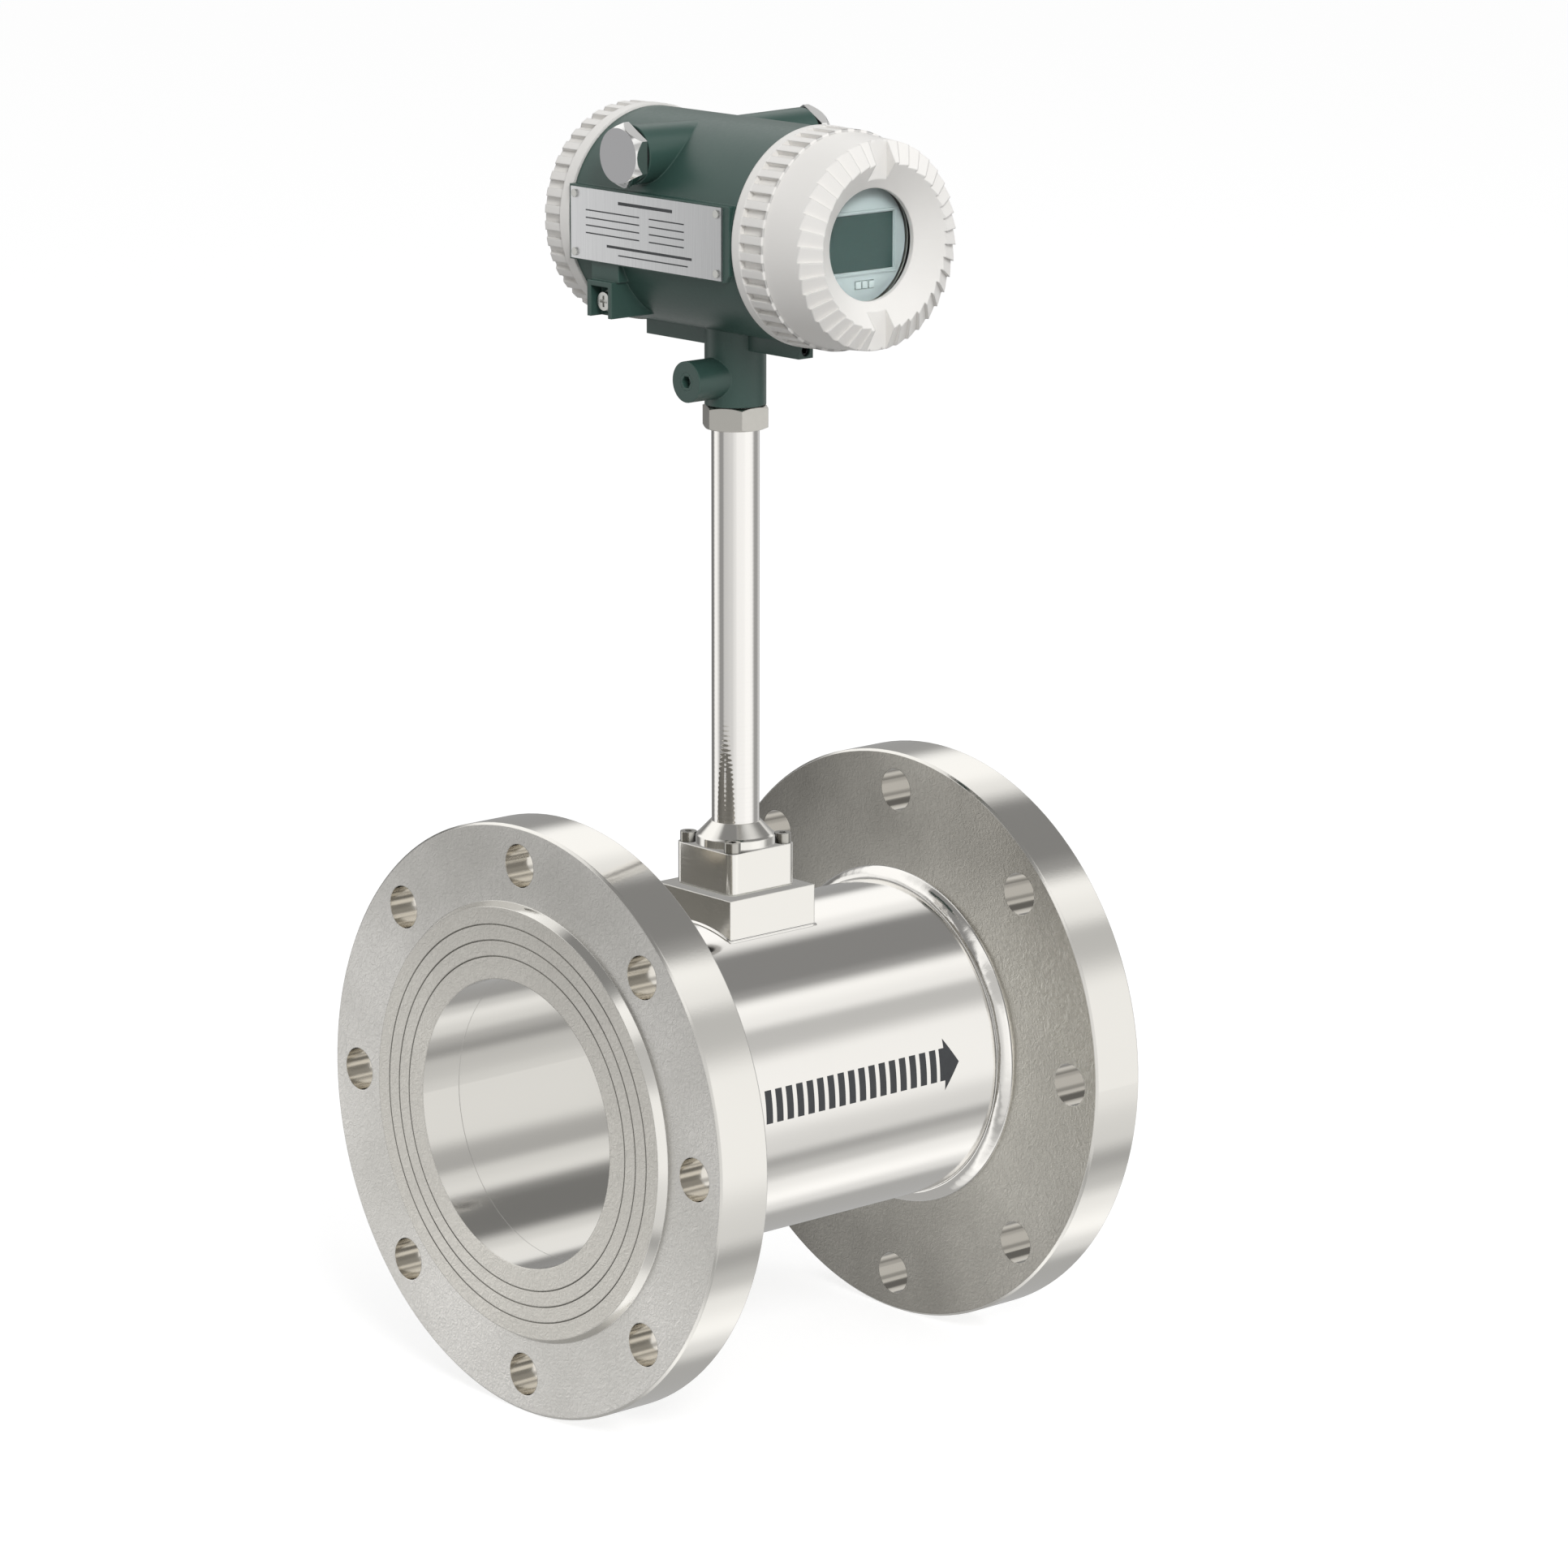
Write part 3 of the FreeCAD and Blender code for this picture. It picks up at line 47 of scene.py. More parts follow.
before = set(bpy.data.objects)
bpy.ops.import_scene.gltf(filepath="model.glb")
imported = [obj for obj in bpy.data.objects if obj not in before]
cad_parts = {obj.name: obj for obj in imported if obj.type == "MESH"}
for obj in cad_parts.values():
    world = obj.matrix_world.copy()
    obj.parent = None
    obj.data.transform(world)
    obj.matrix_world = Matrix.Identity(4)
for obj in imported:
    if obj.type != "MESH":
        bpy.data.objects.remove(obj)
cad_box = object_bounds()

MM = 0.001


# Camera: a long lens, a little above the meter, that looks at its inlet and display sides.
AIM = Vector((0.0680, -0.0612, 0.1191))
CAMERA_DISTANCE = 2.0
CAMERA_AZIMUTH = -41.722
CAMERA_ELEVATION = 13.012
CAMERA_ROLL = 0.093
LENS = 136.74
SENSOR_WIDTH = 36

view_turn = (
    Matrix.Rotation(math.radians(CAMERA_AZIMUTH), 4, "Z")
    @ Matrix.Rotation(math.radians(90 - CAMERA_ELEVATION), 4, "X")
    @ Matrix.Rotation(math.radians(CAMERA_ROLL), 4, "Z")
)
camera_data = bpy.data.cameras.new("camera")
camera_data.lens = LENS
camera_data.sensor_width = SENSOR_WIDTH
camera = bpy.data.objects.new("camera", camera_data)
step_back = Matrix.Translation((0, 0, CAMERA_DISTANCE))
camera.matrix_world = Matrix.Translation(AIM) @ view_turn @ step_back
bpy.context.scene.collection.objects.link(camera)
bpy.context.scene.camera = camera
bpy.context.scene.view_settings.view_transform = "Standard"


def colour(hex_code):
    """An sRGB hex colour as the linear values that a socket takes."""
    channels = [int(hex_code[i:i + 2], 16) / 255 for i in (1, 3, 5)]
    linear = [c / 12.92 if c <= 0.04045 else ((c + 0.055) / 1.055) ** 2.4 for c in channels]
    return (*linear, 1)


def add(tree, kind, links=None, **settings):
    """Add a node with its settings. Each entry of links is a value or a socket for that input.

    A Mix of colours has its A and B at inputs 6 and 7, and its result at output 2.
    """
    node = tree.nodes.new(kind)
    for name, value in settings.items():
        setattr(node, name, value)
    for name, value in (links or {}).items():
        if isinstance(value, bpy.types.NodeSocket):
            tree.links.new(value, node.inputs[name])
        else:
            node.inputs[name].default_value = value
    return node


# Studio: a white room with soft boxes. Polished steel mirrors its bright and grey walls, and
# everything matt takes one plain level of light from it. Each band below is an angle in degrees
# and a grey level, round the pipe's axis for steep directions and round the upright axis for flat.
PLAIN_LIGHT = 0.60
WARMTH = (1, 0.995, 0.985)
STEEP_FROM = 0.24
STEEP_FULL = 0.42
PIPE_BANDS = [
    (-180, 0.33), (-160, 0.46), (-108, 0.46), (-97, 0.86), (-86, 1.20), (-72, 1.02), (-62, 0.64),
    (-52, 0.45), (-43, 0.80), (-20, 0.92), (0, 0.90), (14, 0.70), (42, 0.60), (50, 1.02),
    (62, 1.14), (72, 0.36), (78, 0.27), (104, 0.27), (118, 0.98), (130, 1.18), (152, 1.16),
    (163, 0.76), (172, 0.33), (180, 0.33),
]
WALL_BANDS = [
    (-180, 0.20), (-172, 0.22), (-156, 1.08), (-142, 1.08), (-130, 0.72), (-120, 0.34),
    (-106, 0.34), (-94, 0.66), (-58, 0.75), (-44, 0.90), (-30, 1.05), (-2, 1.08), (12, 1.16),
    (28, 1.16), (46, 1.06), (55, 0.62), (64, 0.38), (84, 0.38), (98, 0.60), (108, 0.70),
    (120, 0.40), (150, 0.34), (170, 0.22), (180, 0.20),
]

world = bpy.data.worlds.new("studio")
world.use_nodes = True
bpy.context.scene.world = world
sky = world.node_tree
background = sky.nodes["Background"]
direction = add(sky, "ShaderNodeSeparateXYZ", {
    0: add(sky, "ShaderNodeTexCoord").outputs["Generated"],
})
to_front = add(sky, "ShaderNodeMath", {0: direction.outputs["Y"], 1: -1.0}, operation="MULTIPLY")


def bands(angle_from, levels):
    """Grey bands round the room. The angle starts at the front and grows towards angle_from."""
    angle = add(sky, "ShaderNodeMath", {
        0: angle_from, 1: to_front.outputs[0],
    }, operation="ARCTAN2")
    place = add(sky, "ShaderNodeMapRange", {
        "Value": angle.outputs[0], "From Min": -math.pi, "From Max": math.pi,
    })
    ramp = add(sky, "ShaderNodeValToRGB", {"Fac": place.outputs["Result"]})
    ramp.color_ramp.interpolation = "EASE"
    stops = ramp.color_ramp.elements
    while len(stops) < len(levels):
        stops.new(0.5)
    for stop, (degrees, level) in zip(stops, levels):
        stop.position = (degrees + 180) / 360
        stop.color = (*(level * part for part in WARMTH), 1)
    return ramp.outputs["Color"]


steepness = add(sky, "ShaderNodeMath", {0: direction.outputs["Z"]}, operation="ABSOLUTE")
high_or_low = add(sky, "ShaderNodeMapRange", {
    "Value": steepness.outputs[0], "From Min": STEEP_FROM, "From Max": STEEP_FULL,
}, interpolation_type="SMOOTHSTEP")
room = add(sky, "ShaderNodeMix", {
    "Factor": high_or_low.outputs["Result"], 6: bands(direction.outputs["X"], WALL_BANDS),
    7: bands(direction.outputs["Z"], PIPE_BANDS),
}, data_type="RGBA")
ray = add(sky, "ShaderNodeLightPath")
mirrored = add(sky, "ShaderNodeMath", {
    0: ray.outputs["Is Glossy Ray"], 1: ray.outputs["Is Transmission Ray"],
}, operation="MAXIMUM")
lit_or_mirrored = add(sky, "ShaderNodeMix", {
    "Factor": mirrored.outputs[0], 6: (PLAIN_LIGHT, PLAIN_LIGHT, PLAIN_LIGHT, 1),
    7: room.outputs[2],
}, data_type="RGBA")
seen = add(sky, "ShaderNodeMix", {
    "Factor": ray.outputs["Is Camera Ray"], 6: lit_or_mirrored.outputs[2], 7: (1, 1, 1, 1),
}, data_type="RGBA")
sky.links.new(seen.outputs[2], background.inputs["Color"])


# Floor: a white sweep that the meter stands on. The camera sees it white with a faint shadow,
# and mirrors see the room's bands through it.
FLOOR_RADIUS = 14.0
FLOOR_GLOW = 0.74
FLOOR_STEPS = 96

floor_shape = bmesh.new()
bmesh.ops.create_circle(floor_shape, cap_ends=True, segments=FLOOR_STEPS, radius=FLOOR_RADIUS,
                        matrix=Matrix.Translation((0, 0, cad_box[0][2])))
floor_mesh = bpy.data.meshes.new("floor")
floor_shape.to_mesh(floor_mesh)
floor = bpy.data.objects.new("floor", floor_mesh)
bpy.context.scene.collection.objects.link(floor)
floor_paint = bpy.data.materials.new("white_floor")
floor_paint.use_nodes = True
tree = floor_paint.node_tree
tree.nodes.remove(tree.nodes["Principled BSDF"])
matt = add(tree, "ShaderNodeBsdfDiffuse", {"Color": colour("#a8a8a8")})
ray = add(tree, "ShaderNodeLightPath")
glow = add(tree, "ShaderNodeEmission", {"Color": (1, 1, 1, 1), "Strength": FLOOR_GLOW})
glow_seen = add(tree, "ShaderNodeMixShader", {
    0: ray.outputs["Is Camera Ray"], 2: glow.outputs[0],
})
both = add(tree, "ShaderNodeAddShader", {0: matt.outputs[0], 1: glow_seen.outputs[0]})
mirrored = add(tree, "ShaderNodeMath", {
    0: ray.outputs["Is Glossy Ray"], 1: ray.outputs["Is Transmission Ray"],
}, operation="MAXIMUM")
see_through = add(tree, "ShaderNodeBsdfTransparent")
shown = add(tree, "ShaderNodeMixShader", {
    0: mirrored.outputs[0], 1: both.outputs[0], 2: see_through.outputs[0],
})
tree.links.new(shown.outputs[0], tree.nodes["Material Output"].inputs["Surface"])
floor_mesh.materials.append(floor_paint)


# Lamps: two large soft boxes, the brighter one high above the camera and the weaker one well to
# its right. Polished steel doesn't mirror them.
def soft_box(name, place, size, watts):
    lamp_data = bpy.data.lights.new(name, "AREA")
    lamp_data.shape = "DISK"
    lamp_data.size = size
    lamp_data.energy = watts
    lamp = bpy.data.objects.new(name, lamp_data)
    lamp.location = place
    lamp.rotation_euler = (AIM - Vector(place)).to_track_quat("-Z", "Y").to_euler()
    lamp.visible_glossy = False
    bpy.context.scene.collection.objects.link(lamp)


soft_box("key_lamp", place=(-1.1, -2.3, 1.7), size=1.0, watts=44)
soft_box("fill_lamp", place=(1.9, -0.9, 1.6), size=1.4, watts=12)


def finish_of(name, **surface):
    """A new material's tree, its shader and the object coordinates that its patterns follow."""
    material = bpy.data.materials.new(name)
    material.use_nodes = True
    tree = material.node_tree
    shader = tree.nodes["Principled BSDF"]
    for socket, value in surface.items():
        shader.inputs[socket.replace("_", " ")].default_value = value
    return material, tree, shader, add(tree, "ShaderNodeTexCoord").outputs["Object"]


def dress(material, *nodes):
    """Give CAD nodes this material."""
    for node in nodes:
        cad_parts[node].data.materials.clear()
        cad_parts[node].data.materials.append(material)


# Meter tube: 114.3 mm stainless pipe, ground round its axis and polished on a wheel, so it
# mirrors the room in long bands with a faint grain across them. The bore is left satin, and its
# metal is painted darker as shade inside the pipe.
BORE_RADIUS = 50.2 * MM
BORE_MARGIN = 0.5 * MM
BORE_GLOSS = 0.13
BORE_COLOUR = "#d0cec9"
PIPE_COLOUR = "#eae8e4"
GRAIN_WIDTH = 1.1 * MM
GRAIN_LENGTH = 45.5 * MM

polished, tree, shader, place = finish_of("polished_stainless", Metallic=1.0)
across = add(tree, "ShaderNodeMapping", {
    "Vector": place, "Scale": (1 / GRAIN_WIDTH, 1 / GRAIN_LENGTH, 1 / GRAIN_LENGTH),
})
grain = add(tree, "ShaderNodeTexNoise", {
    "Vector": across.outputs[0], "Scale": 1.0, "Detail": 3.0, "Roughness": 0.6,
})
cloudy = add(tree, "ShaderNodeTexNoise", {"Vector": place, "Scale": 1 / (34 * MM), "Detail": 2.0})
blend = add(tree, "ShaderNodeMix", {
    "Factor": 0.35, "A": cloudy.outputs["Fac"], "B": grain.outputs["Fac"],
})
wheel_gloss = add(tree, "ShaderNodeMapRange", {
    "Value": blend.outputs[0], "From Min": 0.3, "From Max": 0.7, "To Min": 0.07, "To Max": 0.13,
})


def inside_bore(tree, place):
    """1 on the bore's own wall, 0 outside it."""
    parts = add(tree, "ShaderNodeSeparateXYZ", {0: place})
    across = add(tree, "ShaderNodeCombineXYZ", {"Y": parts.outputs["Y"], "Z": parts.outputs["Z"]})
    from_axis = add(tree, "ShaderNodeVectorMath", {0: across.outputs[0]}, operation="LENGTH")
    return add(tree, "ShaderNodeMath", {
        0: from_axis.outputs["Value"], 1: BORE_RADIUS + BORE_MARGIN,
    }, operation="LESS_THAN").outputs[0]


bored = inside_bore(tree, place)
gloss = add(tree, "ShaderNodeMix", {
    "Factor": bored, "A": wheel_gloss.outputs["Result"], "B": BORE_GLOSS,
})
tree.links.new(gloss.outputs[0], shader.inputs["Roughness"])
# Painted shade: the bore's metal is darker than the outside's.
shade = add(tree, "ShaderNodeMix", {
    "Factor": bored, 6: colour(PIPE_COLOUR), 7: colour(BORE_COLOUR),
}, data_type="RGBA")
tree.links.new(shade.outputs[2], shader.inputs["Base Color"])
ground = add(tree, "ShaderNodeBump", {
    "Height": grain.outputs["Fac"], "Strength": 0.05, "Distance": 0.02 * MM,
    "Normal": add(tree, "ShaderNodeBevel", {"Radius": 0.3 * MM}, samples=4).outputs["Normal"],
})
tree.links.new(ground.outputs[0], shader.inputs["Normal"])
dress(polished, "meter_tube")


def keep_from_mirrors(*nodes):
    """Polished steel doesn't mirror these, so the pipe shows the room's long bands alone."""
    for node in nodes:
        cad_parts[node].visible_glossy = False


keep_from_mirrors("meter_tube")


# Shedder bar and probe: bright machined stainless in the flow, with the cutter's marks along
# them. The bar is welded to the bore, and the probe stands in the seat above it.
MARK_WIDTH = 0.9 * MM
MARK_LENGTH = 16.7 * MM

milled, tree, shader, place = finish_of(
    "milled_stainless", Metallic=1.0, Base_Color=colour("#d8d5ce")
)
tool_marks = add(tree, "ShaderNodeTexNoise", {
    "Vector": add(tree, "ShaderNodeMapping", {
        "Vector": place, "Scale": (1 / MARK_LENGTH, 1 / MARK_LENGTH, 1 / MARK_WIDTH),
    }).outputs[0], "Scale": 1.0, "Detail": 3.0,
})
gloss = add(tree, "ShaderNodeMapRange", {
    "Value": tool_marks.outputs["Fac"], "To Min": 0.16, "To Max": 0.3,
})
tree.links.new(gloss.outputs["Result"], shader.inputs["Roughness"])
marked = add(tree, "ShaderNodeBump", {
    "Height": tool_marks.outputs["Fac"], "Strength": 0.12, "Distance": 0.03 * MM,
    "Normal": add(tree, "ShaderNodeBevel", {"Radius": 0.3 * MM}, samples=4).outputs["Normal"],
})
tree.links.new(marked.outputs[0], shader.inputs["Normal"])
dress(milled, "shedder_bar", "sensor_probe")
keep_from_mirrors("shedder_bar", "sensor_probe", "probe_lead", "probe_seal", "lead_bushing")


# Flanges: forged stainless, turned on a lathe. The faces keep fine rings and a mottle from
# pickling. Painted shade darkens the end faces towards their tops and the sides towards the tube,
# and the rims are bright.
# Each of the three serrations of each sealing face shows as a thin dark line.
SERRATION_FIRST = 58.0 * MM
SERRATION_PITCH = 5.5 * MM
SERRATION_LAST = 69.0 * MM
SERRATION_HALF = 0.24 * MM
RAISED_RADIUS = 76.7 * MM
BOLT_CIRCLE = 90.0 * MM
BOLT_HOLE = 9.6 * MM
BACK_MARGIN = 0.3 * MM
FACE_DEPTH = 1.2 * MM
FACE_RING_PITCH = 1.3 * MM
FACE_BRIGHT_Z, FACE_DULL_Z, FACE_DULLED = -50 * MM, 90 * MM, 0.62
INNER_BRIGHT_Y, INNER_DULL_Y, INNER_DULLED = -50 * MM, 72 * MM, 0.35
INLET_BACK_LEVEL = 0.75
INNER_LEVEL_HALF, INNER_LEVEL_FULL = 85 * MM, 10 * MM
DIRT_COLOUR = "#85837d"

inlet_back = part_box("inlet_flange")[1].x
middle_x = (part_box("inlet_flange")[0].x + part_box("outlet_flange")[1].x) / 2

turned, tree, shader, place = finish_of("turned_stainless", Metallic=1.0)
parts = add(tree, "ShaderNodeSeparateXYZ", {0: place})
across = add(tree, "ShaderNodeCombineXYZ", {"Y": parts.outputs["Y"], "Z": parts.outputs["Z"]})
radius = add(tree, "ShaderNodeVectorMath", {
    0: across.outputs[0],
}, operation="LENGTH").outputs["Value"]
leaning = add(tree, "ShaderNodeSeparateXYZ", {0: place.node.outputs["Normal"]})
flat = add(tree, "ShaderNodeMapRange", {
    "Value": add(tree, "ShaderNodeMath", {
        0: leaning.outputs["X"],
    }, operation="ABSOLUTE").outputs[0],
    "From Min": 0.85, "From Max": 0.95,
}).outputs["Result"]
past_middle = add(tree, "ShaderNodeMath", {
    0: parts.outputs["X"], 1: middle_x,
}, operation="SUBTRACT").outputs[0]
from_middle = add(tree, "ShaderNodeMath", {0: past_middle}, operation="ABSOLUTE").outputs[0]
near_back = add(tree, "ShaderNodeMath", {
    0: from_middle, 1: middle_x - inlet_back + BACK_MARGIN,
}, operation="LESS_THAN").outputs[0]
inner = add(tree, "ShaderNodeMath", {0: near_back, 1: flat}, operation="MULTIPLY").outputs[0]

ring_angle = add(tree, "ShaderNodeMath", {
    0: radius, 1: math.tau / FACE_RING_PITCH,
}, operation="MULTIPLY")
ring_wave = add(tree, "ShaderNodeMath", {0: ring_angle.outputs[0]}, operation="SINE")
mottle = add(tree, "ShaderNodeTexNoise", {
    "Vector": place, "Scale": 1 / (2.6 * MM), "Detail": 3.0, "Roughness": 0.6, "Distortion": 2.0,
})
speckled = add(tree, "ShaderNodeMapRange", {
    "Value": mottle.outputs["Fac"], "From Min": 0.35, "From Max": 0.65,
    "To Min": 0.94, "To Max": 1.0,
}).outputs["Result"]
stain = add(tree, "ShaderNodeTexNoise", {"Vector": place, "Scale": 1 / (60 * MM), "Detail": 3.0})
stained = add(tree, "ShaderNodeMapRange", {
    "Value": stain.outputs["Fac"], "From Min": 0.3, "From Max": 0.7,
}).outputs["Result"]
plain_colour = add(tree, "ShaderNodeMix", {
    "Factor": stained, 6: colour("#e6e4df"), 7: colour("#f0eeea"),
}, data_type="RGBA")
raised = add(tree, "ShaderNodeMath", {
    0: radius, 1: RAISED_RADIUS,
}, operation="LESS_THAN").outputs[0]
even_colour = add(tree, "ShaderNodeMix", {
    "Factor": raised, 6: plain_colour.outputs[2], 7: colour("#e8e5de"),
}, data_type="RGBA")
# Painted shade: the end faces grow darker towards their tops.
duller_up = add(tree, "ShaderNodeMapRange", {
    "Value": parts.outputs["Z"], "From Min": FACE_BRIGHT_Z, "From Max": FACE_DULL_Z,
    "To Min": 1.0, "To Max": FACE_DULLED,
}).outputs["Result"]
face_colour = add(tree, "ShaderNodeMix", {
    "Factor": 1.0, 6: even_colour.outputs[2], 7: duller_up,
}, data_type="RGBA", blend_type="MULTIPLY")
height = add(tree, "ShaderNodeMath", {0: parts.outputs["Z"]}, operation="ABSOLUTE").outputs[0]
# Painted light and shade: the faces towards the tube are lighter near the axis's height and darker
# above and below it, mixed with the real stain.
level_part = add(tree, "ShaderNodeMapRange", {
    "Value": height, "From Min": INNER_LEVEL_HALF, "From Max": INNER_LEVEL_FULL,
}, interpolation_type="SMOOTHSTEP").outputs["Result"]
dulled = add(tree, "ShaderNodeMix", {"Factor": 0.7, "A": stained, "B": level_part}).outputs[0]
even_inner = add(tree, "ShaderNodeMix", {
    "Factor": dulled, 6: colour("#aeaba4"), 7: colour("#ebe8df"),
}, data_type="RGBA")
# Painted shade: the faces towards the tube darken towards the back, and the inlet's evenly.
duller_behind = add(tree, "ShaderNodeMapRange", {
    "Value": parts.outputs["Y"], "From Min": INNER_BRIGHT_Y, "From Max": INNER_DULL_Y,
    "To Min": 1.0, "To Max": INNER_DULLED,
}).outputs["Result"]
inlet_side = add(tree, "ShaderNodeMath", {
    0: parts.outputs["X"], 1: middle_x,
}, operation="LESS_THAN")
inner_level = add(tree, "ShaderNodeMix", {
    "Factor": inlet_side.outputs[0], "A": duller_behind, "B": INLET_BACK_LEVEL,
})
inner_colour = add(tree, "ShaderNodeMix", {
    "Factor": 1.0, 6: even_inner.outputs[2], 7: inner_level.outputs[0],
}, data_type="RGBA", blend_type="MULTIPLY")
bored = inside_bore(tree, place)
# The flanges' bore carries the same painted shade as the tube's.
bright_colour = add(tree, "ShaderNodeMix", {
    "Factor": bored, 6: colour("#e6e4df"), 7: colour(BORE_COLOUR),
}, data_type="RGBA")
metal_colour = add(tree, "ShaderNodeMix", {
    "Factor": flat, 6: bright_colour.outputs[2], 7: face_colour.outputs[2],
}, data_type="RGBA")
near_bolts = add(tree, "ShaderNodeMath", {
    0: radius, 1: BOLT_CIRCLE, 2: BOLT_HOLE,
}, operation="COMPARE")
in_holes = add(tree, "ShaderNodeMath", {
    0: near_bolts.outputs[0], 1: flat,
}, operation="SUBTRACT", use_clamp=True).outputs[0]
# Painted shade and light in the bolt holes: the outlet's are painted darker as shade inside them,
# and the inlet's mirror their own walls and so lose light, which a lighter metal makes up for
hole_colour = add(tree, "ShaderNodeMix", {
    "Factor": inlet_side.outputs[0], 6: colour("#aeaaa2"), 7: colour("#dcd8d0"),
}, data_type="RGBA")
drilled_colour = add(tree, "ShaderNodeMix", {
    "Factor": in_holes, 6: metal_colour.outputs[2], 7: hole_colour.outputs[2],
}, data_type="RGBA")
clean_colour = add(tree, "ShaderNodeMix", {
    "Factor": inner, 6: drilled_colour.outputs[2], 7: inner_colour.outputs[2],
}, data_type="RGBA")
speckle = add(tree, "ShaderNodeMix", {
    "Factor": flat, 6: (1, 1, 1, 1), 7: speckled,
}, data_type="RGBA")
pickled = add(tree, "ShaderNodeMix", {
    "Factor": 1.0, 6: clean_colour.outputs[2], 7: speckle.outputs[2],
}, data_type="RGBA", blend_type="MULTIPLY")

past_first = add(tree, "ShaderNodeMath", {
    0: radius, 1: SERRATION_FIRST,
}, operation="SUBTRACT").outputs[0]
off_line = add(tree, "ShaderNodeMath", {
    0: past_first, 1: SERRATION_PITCH / 2,
}, operation="PINGPONG")
on_line = add(tree, "ShaderNodeMapRange", {
    "Value": off_line.outputs[0],
    "From Min": SERRATION_HALF * 1.3, "From Max": SERRATION_HALF * 0.7,
}).outputs["Result"]
serrated = add(tree, "ShaderNodeMath", {
    0: radius, 1: (SERRATION_FIRST + SERRATION_LAST) / 2,
    2: (SERRATION_LAST - SERRATION_FIRST) / 2 + SERRATION_HALF,
}, operation="COMPARE")
outermost = add(tree, "ShaderNodeMath", {
    0: from_middle, 1: middle_x - FACE_DEPTH,
}, operation="GREATER_THAN")
in_ring = add(tree, "ShaderNodeMath", {
    0: on_line, 1: serrated.outputs[0],
}, operation="MULTIPLY")
# A thin dark line on each serration of the sealing face.
dirt = add(tree, "ShaderNodeMath", {
    0: in_ring.outputs[0], 1: outermost.outputs[0],
}, operation="MULTIPLY").outputs[0]
shade = add(tree, "ShaderNodeMix", {
    "Factor": dirt, 6: pickled.outputs[2], 7: colour(DIRT_COLOUR),
}, data_type="RGBA")
tree.links.new(shade.outputs[2], shader.inputs["Base Color"])

wheel_gloss = add(tree, "ShaderNodeMapRange", {"Value": stained, "To Min": 0.08, "To Max": 0.14})
rim_gloss = add(tree, "ShaderNodeMix", {
    "Factor": bored, "A": wheel_gloss.outputs["Result"], "B": BORE_GLOSS,
})
face_gloss = add(tree, "ShaderNodeMapRange", {"Value": stained, "To Min": 0.34, "To Max": 0.24})
gloss = add(tree, "ShaderNodeMix", {
    "Factor": flat, "A": rim_gloss.outputs[0], "B": face_gloss.outputs["Result"],
})
tree.links.new(gloss.outputs[0], shader.inputs["Roughness"])
rings = add(tree, "ShaderNodeBump", {
    "Height": ring_wave.outputs[0], "Strength": 0.10, "Distance": 0.015 * MM,
    "Normal": add(tree, "ShaderNodeBevel", {"Radius": 0.5 * MM}, samples=4).outputs["Normal"],
})
mottled = add(tree, "ShaderNodeBump", {
    "Height": mottle.outputs["Fac"], "Distance": 0.25 * MM, "Normal": rings.outputs[0],
    "Strength": add(tree, "ShaderNodeMapRange", {
        "Value": flat, "To Min": 0.03, "To Max": 0.4,
    }).outputs["Result"],
})
tree.links.new(mottled.outputs[0], shader.inputs["Normal"])
dress(turned, "inlet_flange", "outlet_flange")
keep_from_mirrors("outlet_flange")


# Weld beads: stainless filler laid round each joint by hand and brushed bright, so the surface
# swells and dips. The CAD solid is the plain fillet, and the beads stand on the same legs.
BEAD_STEPS = 288
BEAD_ARC_STEPS = 8
BEAD_RIPPLE = 0.16 * MM
RIPPLES, RIPPLE_SHARE = 96, 0.3
LUMPS, LUMP_SHARE, LUMP_SHIFT = 23, 0.7, 1.3
SWELLS, SWELL_SHARE = 7, 0.8
DRIFTS, DRIFT = 5, 0.7

bead_metal, tree, shader, place = finish_of(
    "weld_stainless", Metallic=1.0, Base_Color=colour("#edebe7")
)
spatter = add(tree, "ShaderNodeTexNoise", {
    "Vector": place, "Scale": 1 / (1.6 * MM), "Detail": 3.0, "Distortion": 0.8,
})
gloss = add(tree, "ShaderNodeMapRange", {
    "Value": spatter.outputs["Fac"], "To Min": 0.06, "To Max": 0.2,
})
tree.links.new(gloss.outputs["Result"], shader.inputs["Roughness"])
lumps = add(tree, "ShaderNodeBump", {
    "Height": spatter.outputs["Fac"], "Strength": 0.16, "Distance": 0.15 * MM,
})
tree.links.new(lumps.outputs[0], shader.inputs["Normal"])


def new_piece(name, shape, material, body, smooth=True):
    """Turn a bmesh into a finished piece that rides on a body."""
    mesh = bpy.data.meshes.new(name)
    shape.to_mesh(mesh)
    shape.free()
    mesh.materials.append(material)
    for face in mesh.polygons:
        face.use_smooth = smooth
    piece = bpy.data.objects.new(name, mesh)
    bpy.context.scene.collection.objects.link(piece)
    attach(piece, body)
    return piece


